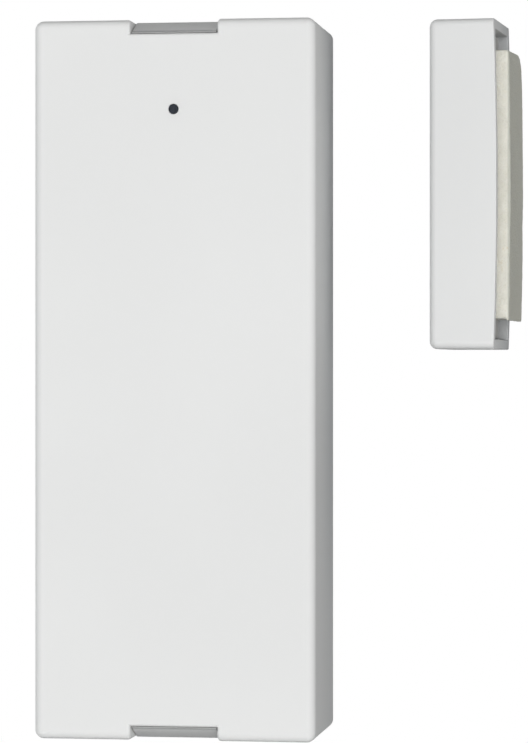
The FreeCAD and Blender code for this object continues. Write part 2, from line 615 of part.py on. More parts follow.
def cell_holder():
    body = body_of("cell_holder")
    floor = sketch_on(body, "XZ_Plane", BOARD_FRONT)
    circle(floor, "0", CELL_Z, HOLDER_RADIUS)
    rectangle(floor, "-(sizes.leaf_width / 2 + sizes.cell_fit)", f"({CELL_Z} - sizes.holder_window / 2)",
              "(sizes.leaf_width / 2 + sizes.cell_fit)", f"({CELL_Z} + sizes.holder_window / 2)")
    pad(body, floor, "sizes.holder_floor")
    ring = sketch_on(body, "XZ_Plane", BOARD_FRONT)
    circle(ring, "0", CELL_Z, HOLDER_RADIUS)
    circle(ring, "0", CELL_Z, "(sizes.cell_width / 2 + sizes.cell_fit)")
    pad(body, ring, "sizes.holder_floor + sizes.holder_ring")
    slot = sketch_on(body, "XZ_Plane", f"({BOARD_FRONT} + sizes.holder_floor + sizes.holder_ring)")
    rectangle(slot, "-sizes.finger_slot / 2", f"({CELL_Z} - {HOLDER_RADIUS} - sizes.holder_wall)",
              "sizes.finger_slot / 2", f"({CELL_Z} - sizes.cell_width / 2 + sizes.holder_wall)")
    pocket(body, slot, "sizes.holder_ring")


def coin_cell():
    can = forward_rod("cell_can", "0", CELL_Z, f"({CELL_BACK} + sizes.cell_step)", "sizes.cell_width / 2",
                      "sizes.cell_thickness - sizes.cell_step")
    cap = forward_rod("cell_cap", "0", CELL_Z, CELL_BACK, "sizes.cell_width / 2 - sizes.cell_cap_inset",
                      "sizes.cell_step")
    joined = fused("cell_joined", [can, cap])
    document.recompute()
    front = -float(sheet.evalExpression(CELL_FRONT))
    edges = enumerate(joined.Shape.Edges, start=1)
    chosen = [number for number, edge in edges if lies_at(edge, Y_AXIS, front)]
    radius = float(sheet.evalExpression("sizes.cell_round"))
    rounded = document.addObject("Part::Fillet", "cell_rounded")
    rounded.Base = joined
    rounded.Edges = [(number, radius, radius) for number in chosen]
    keep(rounded, "coin_cell")


def cell_clip_positive():
    outside = f"({CELL_Z} + {HOLDER_RADIUS} + sizes.snug_fit)"
    over_cell = f"({CELL_Z} + sizes.cell_width / 2 - sizes.clip_reach)"
    strap = block("clip_strap", "-sizes.clip_width / 2", over_cell, CELL_FRONT, "sizes.clip_width",
                  f"{outside} + sizes.leaf_thickness - {over_cell}", "sizes.leaf_thickness")
    leg = block("clip_leg", "-sizes.clip_width / 2", outside, BOARD_FRONT, "sizes.clip_width",
                "sizes.leaf_thickness", f"{CELL_FRONT} - {BOARD_FRONT}")
    foot = block("clip_foot", "-sizes.clip_width / 2", outside, BOARD_FRONT, "sizes.clip_width",
                 "sizes.leaf_thickness + sizes.clip_foot", "sizes.leaf_thickness")
    keep(fused("clip_joined", [strap, leg, foot]), "cell_clip_positive")


def cell_contact_negative():
    body = body_of("cell_contact_negative")
    profile = sketch_on(body, "YZ_Plane")
    under = f"(-{BOARD_FRONT})"
    over = f"(-{BOARD_FRONT} - sizes.leaf_thickness)"
    crest = f"(-{CELL_BACK})"
    hollow = f"(-{CELL_BACK} + sizes.leaf_thickness)"
    end = "(sizes.holder_window / 2 - sizes.cell_fit)"
    foot = "(sizes.holder_window / 3)"
    top = "(sizes.holder_window / 12)"
    corners = [(under, end), (under, foot), (hollow, top), (hollow, f"-{top}"), (under, f"-{foot}"),
               (under, f"-{end}"), (over, f"-{end}"), (over, f"-{foot}"), (crest, f"-{top}"), (crest, top),
               (over, foot), (over, end)]
    outline(profile, [(level, f"{CELL_Z} + {up}") for level, up in corners])
    pad(body, profile, "sizes.leaf_width", both_ways=True)


# Push switches: the tamper switch under the cover's post, and the learn switch

def push_switch(name, across, button_name, button_width, proud, hidden):
    body = centred_block(f"{name}_block", across, SWITCH_Z, BOARD_FRONT, "sizes.switch_size",
                         "sizes.switch_size", "sizes.switch_height")
    bore = forward_rod(f"{name}_bore", across, SWITCH_Z, f"({SWITCH_TOP} - sizes.button_bore)",
                       f"{button_width} / 2 + sizes.button_fit", "sizes.button_bore + sizes.button_fit")
    keep(cut(f"{name}_cut", body, bore), name)
    button = forward_rod(f"{button_name}_rod", across, SWITCH_Z, f"({SWITCH_TOP} - {hidden})",
                         f"{button_width} / 2", f"{hidden} + {proud}")
    keep(button, button_name)


def terminal(name, across, side):
    edge = f"({SWITCH_Z} {side} sizes.switch_size / 2)"
    leg_low = edge if side == "+" else f"({edge} - sizes.lead_thickness)"
    foot_low = edge if side == "+" else f"({edge} - sizes.lead_foot)"
    left = f"({across} - sizes.terminal_width / 2)"
    leg = block(f"{name}_leg", left, leg_low, BOARD_FRONT, "sizes.terminal_width", "sizes.lead_thickness",
                "sizes.switch_height / 2")
    foot = block(f"{name}_foot", left, foot_low, BOARD_FRONT, "sizes.terminal_width", "sizes.lead_foot",
                 "sizes.lead_thickness")
    return fused(name, [leg, foot])


def switch_terminals():
    terminals = []
    for switch, centre in (("tamper", TAMPER_X), ("learn", LEARN_X)):
        for word, shift in (("left", "-"), ("right", "+")):
            for end, side in (("low", "-"), ("high", "+")):
                across = f"({centre} {shift} sizes.terminal_apart / 2)"
                terminals.append(terminal(f"{switch}_{word}_{end}", across, side))
    keep(group("terminals", terminals), "switch_terminals")


# Chips with flat leads

def chip(name, across, up, width, height, thickness):
    level = f"({BOARD_FRONT} + sizes.chip_lift)"
    keep(centred_block(f"{name}_block", across, up, level, width, height, thickness), name)


LEADS_A_SIDE = 7


def controller_leads():
    body = body_of("controller_leads")
    body.AllowCompound = True
    row_length = f"({LEADS_A_SIDE - 1} * sizes.chip_lead_pitch)"
    profile = sketch_on(body, "YZ_Plane", f"{CHIP_X} - {row_length} / 2")
    under = f"(-{BOARD_FRONT})"
    over = f"(-{BOARD_FRONT} - sizes.lead_thickness)"
    shoulder = f"(-{BOARD_FRONT} - sizes.chip_lift - sizes.chip_thickness / 2)"
    near = "(sizes.chip_height / 2)"
    bend = "(sizes.chip_height / 2 + sizes.lead_thickness)"
    far = "(sizes.chip_height / 2 + sizes.lead_foot)"
    corners = [(under, near), (under, far), (over, far), (over, bend), (shoulder, bend), (shoulder, near)]
    for side in ("+", "-"):
        outline(profile, [(level, f"{CHIP_Z} {side} {up}") for level, up in corners])
    first = pad(body, profile, "sizes.chip_lead_width", both_ways=True)
    pattern = body.newObject("PartDesign::LinearPattern", "controller_lead_row")
    pattern.Originals = [first]
    pattern.Direction = (profile, ["N_Axis"])
    pattern.setExpression("Length", row_length)
    pattern.Occurrences = LEADS_A_SIDE
    body.Tip = pattern


def transistor_leads():
    leads = []
    places = [("base", "-", "-"), ("emitter", "-", "+"), ("collector", "+", "")]
    for name, side, up_side in places:
        edge = f"({TRANSISTOR_X} {side} sizes.transistor_width / 2)"
        left = edge if side == "+" else f"({edge} - sizes.lead_foot)"
        leg_left = edge if side == "+" else f"({edge} - sizes.lead_thickness)"
        shift = f"{up_side} sizes.transistor_height / 3" if up_side else ""
        low = f"({CAN_Z} {shift} - sizes.chip_lead_width / 2)"
        foot = block(f"{name}_foot", left, low, BOARD_FRONT, "sizes.lead_foot", "sizes.chip_lead_width",
                     "sizes.lead_thickness")
        leg = block(f"{name}_leg", leg_left, low, BOARD_FRONT, "sizes.lead_thickness", "sizes.chip_lead_width",
                    "sizes.chip_lift + sizes.transistor_thickness / 2")
        leads.append(fused(f"{name}_lead", [foot, leg]))
    keep(group("transistor_lead_set", leads), "transistor_leads")


# Resonator, antenna, capacitor, lamp and small chips

def resonator_can():
    rim = forward_rod("can_foot", CAN_X, CAN_Z, BOARD_FRONT, "sizes.can_width / 2 + sizes.can_rim",
                      "sizes.can_rim")
    can = forward_rod("can_body", CAN_X, CAN_Z, BOARD_FRONT, "sizes.can_width / 2",
                      "sizes.can_height")
    keep(fused("can_joined", [rim, can]), "resonator_can")


def antenna_coil():
    body = body_of("antenna_coil")
    wire = sketch_on(body, "XZ_Plane")
    circle(wire, COIL_RADIUS, "0", "sizes.coil_wire / 2")
    coil = body.newObject("PartDesign::AdditiveHelix", "coil_turns")
    coil.Profile = wire
    coil.ReferenceAxis = (wire, ["V_Axis"])
    coil.Mode = 0
    coil.setExpression("Pitch", "sizes.coil_pitch")
    coil.setExpression("Height", "sizes.coil_length")
    coil.LeftHanded = True
    document.recompute()
    leg = sketch_on(body, "XZ_Plane")
    circle(leg, COIL_RADIUS, "0", "sizes.coil_wire / 2")
    pad(body, leg, f"{COIL_LEVEL} - {BOARD_BACK}", backwards=True)
    body.setExpression("Placement.Base.x", COIL_X)
    body.setExpression("Placement.Base.y", f"-{COIL_LEVEL}")
    body.setExpression("Placement.Base.z", CHIP_Z)


def storage_capacitor():
    up = f"({BOARD_Z} - sizes.capacitor_inset)"
    foot = centred_block("capacitor_foot", "sizes.capacitor_right", up, BOARD_FRONT, "sizes.capacitor_base",
                         "sizes.capacitor_base", "sizes.capacitor_floor")
    can = forward_rod("capacitor_can", "sizes.capacitor_right", up, BOARD_FRONT, "sizes.capacitor_width / 2",
                      "sizes.capacitor_height")
    keep(fused("capacitor_joined", [foot, can]), "storage_capacitor")


def status_led():
    body = centred_block("lamp_block", "0", LAMP_Z, BOARD_FRONT, "sizes.lamp_width", "sizes.lamp_height",
                         "sizes.lamp_body")
    lens = forward_rod("lamp_dome", "0", LAMP_Z, BOARD_FRONT, "sizes.lamp_height / 2",
                       "sizes.lamp_body + sizes.lamp_lens")
    keep(fused("lamp_joined", [body, lens]), "status_led")


def small_chips(name, across, up, count, thickness):
    chips = []
    for number in range(count):
        centre = f"({up} + {number} * sizes.small_pitch)"
        chips.append(centred_block(f"{name}_{number}", across, centre, BOARD_FRONT, "sizes.small_length",
                                   "sizes.small_width", thickness))
    keep(group(f"{name}_set", chips), name)


# Magnet half, built square to its own front face and then turned as a whole

def stand(body):
    body.Placement = FreeCAD.Placement(FreeCAD.Vector(0, 0, 0), FreeCAD.Rotation(Z_AXIS, -1))
    body.setExpression("Placement.Rotation.Angle", "-sizes.magnet_turn")
    body.setExpression("Placement.Base.x", "sizes.case_width / 2 + sizes.magnet_apart")
    body.setExpression("Placement.Base.y", f"sizes.magnet_setback - {CASE_FRONT}")
    body.setExpression("Placement.Base.z", "sizes.magnet_low")


def magnet_cover():
    body = body_of("magnet_cover")
    side = sketch_on(body, "XZ_Plane")
    length = float(sheet.evalExpression("sizes.shell_length"))
    thickness = float(sheet.evalExpression("sizes.shell_thickness"))
    crown = float(sheet.evalExpression("sizes.shell_crown"))
    corners = [FreeCAD.Vector(thickness, length, 0), FreeCAD.Vector(0, length, 0), FreeCAD.Vector(0, 0, 0),
               FreeCAD.Vector(thickness, 0, 0)]
    for start, end in zip(corners, corners[1:]):
        side.addGeometry(Part.LineSegment(start, end), False)
    middle = FreeCAD.Vector(thickness + crown, length / 2, 0)
    rim = side.addGeometry(Part.Arc(corners[3], middle, corners[0]), False)
    side.addConstraint(Sketcher.Constraint("Coincident", 0, 2, 1, 1))
    side.addConstraint(Sketcher.Constraint("Coincident", 1, 2, 2, 1))
    side.addConstraint(Sketcher.Constraint("Coincident", 2, 2, rim, 1))
    side.addConstraint(Sketcher.Constraint("Coincident", rim, 2, 0, 1))
    bind(side, "DistanceX", 0, 1, "sizes.shell_thickness")
    bind(side, "DistanceY", 0, 1, "sizes.shell_length")
    bind(side, "DistanceX", 1, 1, "0")
    bind(side, "DistanceY", 1, 1, "sizes.shell_length")
    bind(side, "DistanceX", 2, 1, "0")
    bind(side, "DistanceY", 2, 1, "0")
    bind(side, "DistanceX", rim, 1, "sizes.shell_thickness")
    bind(side, "DistanceY", rim, 1, "0")
    radius = "((sizes.shell_length ^ 2 / 4 + sizes.shell_crown ^ 2) / (2 * sizes.shell_crown))"
    number = side.addConstraint(Sketcher.Constraint("Radius", rim, float(side.evalExpression(radius))))
    side.setExpression(f"Constraints[{number}]", radius)
    pad(body, side, "sizes.shell_depth", backwards=True)
    round_edges(body, "sizes.shell_round", lambda edge: (
        lies_at(edge, X_AXIS, 0) or lies_at(edge, Y_AXIS, 0) and edge.BoundBox.XMax < thickness + TOLERANCE))
    inside = sketch_on(body, "YZ_Plane", "sizes.shell_thickness + 2 * sizes.shell_crown")
    rectangle(inside, "sizes.shell_wall", "sizes.shell_wall", "(sizes.shell_depth - sizes.shell_wall)",
              "(sizes.shell_length - sizes.shell_wall)")
    pocket(body, inside, "sizes.shell_thickness + 2 * sizes.shell_crown - sizes.shell_wall")
    stand(body)


CARRIER_OUT = "(sizes.shell_thickness - sizes.carrier_sink)"
CARRIER_IN = f"({CARRIER_OUT} - sizes.carrier_plate)"
MAGNET_MIDDLE = "(sizes.shell_depth / 2)"
MAGNET_CENTRE = "(sizes.shell_length / 2)"


def magnet_rectangle(sketch, grow):
    reach = f"(sizes.magnet_width / 2 + {grow})"
    rise = f"(sizes.magnet_length / 2 + {grow})"
    rectangle(sketch, f"({MAGNET_MIDDLE} - {reach})", f"({MAGNET_CENTRE} - {rise})",
              f"({MAGNET_MIDDLE} + {reach})", f"({MAGNET_CENTRE} + {rise})")


def magnet_carrier():
    body = body_of("magnet_carrier")
    plate = sketch_on(body, "YZ_Plane", CARRIER_IN)
    near = "(sizes.shell_wall + sizes.carrier_fit)"
    rectangle(plate, near, near, f"(sizes.shell_depth - {near})", f"(sizes.shell_length - {near})")
    pad(body, plate, "sizes.carrier_plate")
    cradle = sketch_on(body, "YZ_Plane", CARRIER_IN)
    magnet_rectangle(cradle, "sizes.carrier_fit")
    magnet_rectangle(cradle, "(sizes.carrier_fit + sizes.cradle_wall)")
    pad(body, cradle, "sizes.cradle_height", backwards=True)
    stand(body)


def bar_magnet():
    body = body_of("bar_magnet")
    face = sketch_on(body, "YZ_Plane", CARRIER_IN)
    magnet_rectangle(face, "0")
    pad(body, face, "sizes.magnet_thickness", backwards=True)
    round_edges(body, "sizes.magnet_round", lambda edge: runs_along(edge, X_AXIS))
    stand(body)


def magnet_foam_pad():
    body = body_of("magnet_foam_pad")
    face = sketch_on(body, "YZ_Plane", CARRIER_OUT)
    rise = "(sizes.door_pad_length / 2)"
    rectangle(face, "sizes.door_pad_front", f"({MAGNET_CENTRE} - {rise})",
              "(sizes.door_pad_front + sizes.door_pad_width)", f"({MAGNET_CENTRE} + {rise})")
    pad(body, face, "sizes.carrier_sink + sizes.door_pad_proud")
    stand(body)


front_cover()
light_pipe()
rear_base()
sensor_foam_pad()
circuit_board()
board_screws()
reed_capsule()
reed_blade("reed_blade_upper", "+", "-")
reed_blade("reed_blade_lower", "-", "+")
cell_holder()
coin_cell()
cell_clip_positive()
cell_contact_negative()
push_switch("tamper_switch_body", TAMPER_X, "tamper_plunger", "sizes.plunger_width", "sizes.plunger_proud",
            "sizes.plunger_hidden")
push_switch("learn_switch_body", LEARN_X, "learn_button", "sizes.button_width", "sizes.button_proud",
            "sizes.button_hidden")
switch_terminals()
chip("controller_chip", CHIP_X, CHIP_Z, "sizes.chip_width", "sizes.chip_height", "sizes.chip_thickness")
controller_leads()
chip("radio_transistor", TRANSISTOR_X, CAN_Z, "sizes.transistor_width", "sizes.transistor_height",
     "sizes.transistor_thickness")
transistor_leads()
resonator_can()
antenna_coil()
storage_capacitor()
status_led()
small_chips("chip_resistors", RESISTOR_X, f"({CHIP_Z} - sizes.small_pitch)", 3, "sizes.small_thickness")
small_chips("chip_capacitors", TRANSISTOR_X, f"({CAN_Z} + sizes.transistor_height)", 2, "sizes.small_width")
magnet_cover()
magnet_carrier()
bar_magnet()
magnet_foam_pad()

# Every object is sound before anything is written

document.recompute()
for item in document.Objects:
    if "Invalid" in item.State or "Error" in item.State:
        raise RuntimeError(f"{item.Label} failed: {item.State}")
for piece in pieces:
    if piece.Shape.isNull() or not piece.Shape.isValid() or not piece.Shape.Solids:
        raise RuntimeError(f"{piece.Label} has no valid shape")
for piece in pieces:
    piece.Shape.exportStep(f"parts/{piece.Label}.step")
    box = piece.Shape.BoundBox
    print(f"{piece.Label}: {len(piece.Shape.Solids)} solids, {piece.Shape.Volume:.2f} mm3, "
          f"x {box.XMin:.2f} to {box.XMax:.2f}, y {box.YMin:.2f} to {box.YMax:.2f}, "
          f"z {box.ZMin:.2f} to {box.ZMax:.2f}")
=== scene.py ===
# %% [markdown]
# # A magnetic door contact
#
# The object is a pair: a tall sensor half that is stuck to a wall, and a short magnet half that a door carries
# past it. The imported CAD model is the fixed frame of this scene. Each step below dresses one part of it: a finish
# for a surface whose shape is already right, or a new piece where the real one is softer or finer than the solid.
#
# Everything is in metres. +Z is up, the fronts face -Y, and the magnet half stands on the +X side.

# %% Load the frame
import math
import bpy
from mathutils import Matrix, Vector


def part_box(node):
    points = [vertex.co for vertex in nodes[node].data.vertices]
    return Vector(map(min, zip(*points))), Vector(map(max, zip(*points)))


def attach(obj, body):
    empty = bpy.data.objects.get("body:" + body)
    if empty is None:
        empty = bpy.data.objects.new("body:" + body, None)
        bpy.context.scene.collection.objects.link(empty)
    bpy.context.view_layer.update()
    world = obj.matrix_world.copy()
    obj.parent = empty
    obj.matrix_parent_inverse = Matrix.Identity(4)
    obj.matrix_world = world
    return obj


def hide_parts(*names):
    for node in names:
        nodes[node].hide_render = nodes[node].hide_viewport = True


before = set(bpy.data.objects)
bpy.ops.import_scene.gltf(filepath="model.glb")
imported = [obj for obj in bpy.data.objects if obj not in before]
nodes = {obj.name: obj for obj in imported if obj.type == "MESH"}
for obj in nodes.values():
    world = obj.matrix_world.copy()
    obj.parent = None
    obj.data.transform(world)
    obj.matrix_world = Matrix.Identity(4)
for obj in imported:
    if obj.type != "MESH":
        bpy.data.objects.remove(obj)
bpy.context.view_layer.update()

# %% [markdown]
# ## The camera
#
# The photograph is taken from a little to the right of the sensor's front, with hardly any perspective. Such a
# view could be set by eye, but here the lens and the place come from a fit of the case's corners, so a long lens
# looks along a level line and nothing is shifted or tilted.

# %% Camera
MM = 0.001
CAMERA_PLACE = Vector((55.7, -339.5, 0.84)) * MM
CAMERA_LOOK = Vector((-0.1425, 0.9898, 0.0))
CAMERA_LENS = 159.58

bpy.ops.object.camera_add(location=CAMERA_PLACE)
camera = bpy.context.object
camera.name = "front_camera"
camera.rotation_euler = CAMERA_LOOK.to_track_quat("-Z", "Y").to_euler()
camera.data.lens = CAMERA_LENS
camera.data.clip_start = 0.01
bpy.context.scene.camera = camera
bpy.context.scene.view_settings.view_transform = "Standard"
print("camera looks", tuple(CAMERA_LOOK), "through a lens of", CAMERA_LENS)

# %% [markdown]
# ## Shader maths
#
# A procedural finish is a sum of small patterns. Its nodes could be placed and linked one by one, but that hides
# the idea behind dozens of lines. This class wraps one socket, so a pattern is written as an expression and the
# operators add the Math nodes. Colours go through Mix nodes, because a Math node would turn them grey.

# %% A socket that can be added and multiplied
class Shade:
    """One socket of a material's or the world's nodes."""

    def __init__(self, tree, socket=None):
        self.tree = tree
        self.socket = socket

    def add(self, kind, settings=(), sockets=(), output=0):
        node = self.tree.nodes.new(kind)
        for name, value in dict(settings).items():
            setattr(node, name, value)
        for name, value in dict(sockets).items():
            if isinstance(value, Shade):
                self.tree.links.new(value.socket, node.inputs[name])
            else:
                node.inputs[name].default_value = value
        return Shade(self.tree, node.outputs[output] if node.outputs else None)

    def maths(self, operation, *values):
        return self.add("ShaderNodeMath", {"operation": operation}, enumerate(values))

    def __add__(self, other):
        return self.maths("ADD", self, other)

    def __radd__(self, other):
        return self.maths("ADD", other, self)

    def __sub__(self, other):
        return self.maths("SUBTRACT", self, other)

    def __rsub__(self, other):
        return self.maths("SUBTRACT", other, self)

    def __mul__(self, other):
        return self.maths("MULTIPLY", self, other)

    def __rmul__(self, other):
        return self.maths("MULTIPLY", other, self)

    def size(self):
        return self.maths("ABSOLUTE", self)

    def least(self, other):
        return self.maths("MINIMUM", self, other)

    def most(self, other):
        return self.maths("MAXIMUM", self, other)

    def rise(self, start, end):
        """0 before start and 1 after end, with a soft step between them."""
        settings = {"interpolation_type": "SMOOTHSTEP"}
        return self.add("ShaderNodeMapRange", settings, {"Value": self, "From Min": start, "From Max": end})

    def between(self, first, second):
        """The first colour where this value is 0, and the second where it is 1."""
        return self.add("ShaderNodeMix", {"data_type": "RGBA"}, {0: self, 6: first, 7: second}, 2)


# %% [markdown]
# ## Patterns and finishes
#
# A pattern needs a place to read. UV maps would have to be unwrapped on every CAD surface, while Object
# coordinates are there already and don't slide when a body moves, so all the patterns here use those. A finish is
# then one Principled shader with its colour, its roughness and a little relief.

# %% Patterns in Object coordinates
def paint(red, green, blue):
    """A colour given as a picture shows it, turned into the linear values that a shader mixes."""
    shares = [value / 255 for value in (red, green, blue)]
    linear = [share / 12.92 if share <= 0.04045 else ((share + 0.055) / 1.055) ** 2.4 for share in shares]
    return (*linear, 1.0)


def begin(name):
    material = bpy.data.materials.new(name)
    material.use_nodes = True
    material.node_tree.nodes.clear()
    return material, Shade(material.node_tree)


def place(sheet):
    return sheet.add("ShaderNodeTexCoord", output="Object")


def axes(sheet):
    spot = place(sheet)
    return [spot.add("ShaderNodeSeparateXYZ", (), {0: spot}, axis) for axis in "XYZ"]


def clouds(sheet, grain, detail=2.0, where=None):
    """Soft noise whose spots are about one grain across, in metres, with values around a half."""
    where = where or place(sheet)
    return sheet.add("ShaderNodeTexNoise", (), {"Vector": where, "Scale": 1 / grain, "Detail": detail})


def cells(sheet, grain, feature="F1"):
    """Distance to the nearest of scattered points that lie about one grain apart."""
    settings = {"feature": feature}
    return sheet.add("ShaderNodeTexVoronoi", settings, {"Vector": place(sheet), "Scale": 1 / grain}, "Distance")


def stretched(sheet, scales):
    """Object coordinates pulled out along some axes, for brushed and drawn surfaces."""
    return sheet.add("ShaderNodeMapping", (), {"Vector": place(sheet), "Scale": scales})


def complete(material, sheet, sockets, relief=None, depth=0.0):
    """Joins the sockets of the Principled shader, with a relief as deep as depth, in metres."""
    sockets = dict(sockets)
    if relief is not None:
        sockets["Normal"] = sheet.add("ShaderNodeBump", (), {"Height": relief, "Distance": depth})
    shader = sheet.add("ShaderNodeBsdfPrincipled", (), sockets)
    sheet.add("ShaderNodeOutputMaterial", (), {"Surface": shader})
    return material


# %% [markdown]
# ## Places to draw at
#
# Some finishes change at a known place, such as the silver ends of a chip resistor or a line of white print. An
# image could hold them, but a few masks in millimetres are sharper and need no file. Each mask is 1 inside its
# shape and 0 outside, and the places come from the boxes of the CAD nodes.

# %% Masks in the plane of the board
def middle(node):
    low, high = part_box(node)
    return (low + high) / 2


def half_size(node):
    low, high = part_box(node)
    return (high - low) / 2


def disc(x, z, centre, radius, soft=0.04 * MM):
    across = (x - centre[0]) * (x - centre[0]) + (z - centre[1]) * (z - centre[1])
    return 1 - across.maths("SQRT", across).rise(radius - soft, radius + soft)


def frame_line(x, z, centre, half, width=0.08 * MM):
    """The outline of a rectangle, as printed round a part."""
    edge = ((x - centre[0]).size() - half[0]).most((z - centre[1]).size() - half[1])
    return 1 - edge.size().rise(width * 0.8, width * 1.2)


def run_line(x, z, start, end, half):
    """A straight run with square ends, such as one leg of a copper track."""
    length = math.dist(start, end)
    ahead = ((end[0] - start[0]) / length, (end[1] - start[1]) / length)
    centre = ((start[0] + end[0]) / 2, (start[1] + end[1]) / 2)
    along = ((x - centre[0]) * ahead[0] + (z - centre[1]) * ahead[1]).size() - (length / 2)
    across = ((x - centre[0]) * ahead[1] - (z - centre[1]) * ahead[0]).size()
    return 1 - across.most(along).rise(half * 0.85, half * 1.15)


def plus_sign(x, z, centre, arm, half):
    """The two strokes of a plus."""
    return [run_line(x, z, (centre[0] - arm, centre[1]), (centre[0] + arm, centre[1]), half),
            run_line(x, z, (centre[0], centre[1] - arm), (centre[0], centre[1] + arm), half)]


def joined(masks):
    total = masks[0]
    for mask in masks[1:]:
        total = total.most(mask)
    return total


# %% [markdown]
# ## White moulded plastic
#
# Both cases are white ABS with a very fine spark-eroded texture. In the photograph the fronts are an even pale
# grey, and the sides are darker and a little cooler, more so towards the wall. A plain white shader looks like
# plaster. So this one lets light scatter about a millimetre deep, and has fine grain, a slow drift of tone and faint
# flow marks. Its colour also holds painted shade: it turns grey and cooler behind the front towards the wall, the
# base's tongues get a painted shadow line at the end notches, and the magnet's carrier is a darker copy.

# %% White plastic
PLASTIC_SCATTER = 1.0 * MM
BEHIND_FRONT = -14.8 * MM
AT_WALL = 0.5 * MM
NOTCH_JOINT = 34.8 * MM
NOTCH_DEEP = -15.1 * MM


def moulded_plastic(name, tone, shade_tone, painted_shade_tone, joint_shadow=0.0):
    """White plastic with painted shade towards the wall and, if asked, a painted shadow line along the end notches.
    """
    material, sheet = begin(name)
    x, y, z = axes(sheet)
    # Painted shade: grey and cooler from behind the front to the wall, half as strong in the lower part.
    painted_wall_shade = y.rise(BEHIND_FRONT, AT_WALL) * (1 - 0.5 * (0 - z).rise(4 * MM, 30 * MM))
    # Painted shadow: a thin dark line across the end tongues just behind the front, where the cover's notch shades
    # them.
    joint_shadow_band = 1 - (z.size() - NOTCH_JOINT).size().rise(0.1 * MM, 0.22 * MM)
    joint = joint_shadow_band * (1 - y.rise(NOTCH_DEEP - 0.4 * MM, NOTCH_DEEP))
    drift = clouds(sheet, 22 * MM, 1.0).rise(0.3, 0.7)
    flow = clouds(sheet, 1.0, 2.0, stretched(sheet, (160, 160, 24)))
    grain = clouds(sheet, 0.16 * MM, 3.0)
    colour = painted_wall_shade.between(drift.between(shade_tone, tone), painted_shade_tone)
    sockets = {
        "Base Color": (joint_shadow * joint).between(colour, paint(120, 121, 122)),
        "Roughness": 0.6 + 0.1 * flow + 0.05 * grain,
        "Specular IOR Level": 0.01,
        "Subsurface Weight": 0.15,
        "Subsurface Radius": (1.0, 0.97, 0.94),
        "Subsurface Scale": PLASTIC_SCATTER,
    }
    return complete(material, sheet, sockets, grain, 0.006 * MM)


case_plastic = moulded_plastic("case_plastic", paint(229, 229, 228), paint(227, 227, 226), paint(187, 189, 190))
base_plastic = moulded_plastic("base_plastic", paint(237, 237, 236), paint(234, 234, 233), paint(200, 202, 202), 0.42)
# The magnet's carrier is seen only in the recess of its case: this darker copy of the white plastic is painted shade.
carrier_shaded_plastic = moulded_plastic("carrier_shaded_plastic", paint(196, 195, 193), paint(188, 187, 185), paint(184, 183, 181))
print("white plastics ready")

# %% [markdown]
# ## Foam
#
# The pads are cut from cream closed-cell foam. Close up it is a field of tiny bubbles with soft walls, mottled
# where the bubbles differ, and it takes on yellow and brown specks along the cut edges, while the bubbles' hollows
# are darker as painted shade. The faces that are stuck down carry a greyer coat of glue, and on the door pad's
# stuck face, which turns from the light, that grey is also painted shade. Geometry can't hold thousands of bubbles,
# so the cells are relief in the finish, and the pad's own shape stays in its mesh.

# %% Foam
TURN = math.radians(-4.35)
TURN_CENTRE = Vector((25.08, -11.5, 3.07)) * MM
TURN_ACROSS = Vector((math.cos(TURN), math.sin(TURN), 0))
TURN_BACK = Vector((-math.sin(TURN), math.cos(TURN), 0))
DOOR_FACE = 7.74 * MM
GLUE_X = TURN_CENTRE.dot(TURN_ACROSS) + DOOR_FACE
GLUE_Y = -0.1 * MM
print("the door pad's glued face starts", round(GLUE_X / MM, 2), "mm along its turned axis")


def foam_finish():
    material, sheet = begin("foam")
    bubbles = cells(sheet, 0.22 * MM)
    large = cells(sheet, 0.6 * MM)
    mottle = clouds(sheet, 1.3 * MM, 3.0).rise(0.34, 0.66)
    cream = mottle.between(paint(226, 224, 213), paint(232, 230, 220))
    # Painted shade: the hollows of the bubble relief are darker and yellower.
    pit_shade = (1 - bubbles.rise(0.05, 0.42)) * 0.22
    pit_shaded = pit_shade.between(cream, paint(196, 190, 168))
    stains = clouds(sheet, 2.6 * MM, 4.0).rise(0.6, 0.74) * clouds(sheet, 0.35 * MM, 2.0).rise(0.45, 0.7)
    x, y, z = axes(sheet)
    outwards = x * math.cos(TURN) + y * math.sin(TURN)
    # A grey coat on the stuck faces: partly glue, and partly painted shade on the door pad's outward face.
    glue_and_shade = (outwards.rise(GLUE_X - 0.12 * MM, GLUE_X + 0.02 * MM)).most(y.rise(GLUE_Y - 0.12 * MM, GLUE_Y))
    aged = (stains * 0.55).between(pit_shaded, paint(196, 172, 118))
    colour = (0.85 * glue_and_shade).between(aged, paint(191, 191, 181))
    sockets = {
        "Base Color": colour,
        "Roughness": 0.86 + 0.08 * mottle,
        "Specular IOR Level": 0.02,
        "Subsurface Weight": 0.15,
        "Subsurface Radius": (1.0, 0.9, 0.7),
        "Subsurface Scale": 0.6 * MM,
    }
    return complete(material, sheet, sockets, bubbles + 0.5 * large, 0.05 * MM)


foam = foam_finish()

# %% [markdown]
# ## Dark and clear parts
#
# The indicator hole is filled by a smoked light pipe, so it looks almost black with a blue cast and a polished end.
# The chips and switch bodies are black resin, the cell holder is dark nylon. Each gets its own grain, because a
# moulded chip is rough like slate and nylon is closer to satin.

# %% Smoked lens and black parts
def smoked_finish():
    material, sheet = begin("smoked_lens")
    haze = clouds(sheet, 0.25 * MM, 2.0)
    colour = haze.rise(0.35, 0.7).between(paint(20, 25, 34), paint(34, 41, 53))
    sockets = {"Base Color": colour, "Roughness": 0.12 + 0.1 * haze, "Specular IOR Level": 0.35}
    return complete(material, sheet, sockets, haze, 0.002 * MM)


def dark_finish(name, tone, high_tone, grain, roughness, depth):
    material, sheet = begin(name)
    spots = clouds(sheet, grain, 3.0)
    wear = clouds(sheet, 8 * grain, 2.0).rise(0.35, 0.7)
    sockets = {"Base Color": wear.between(tone, high_tone), "Roughness": roughness + 0.12 * spots}
    return complete(material, sheet, sockets, spots, depth)


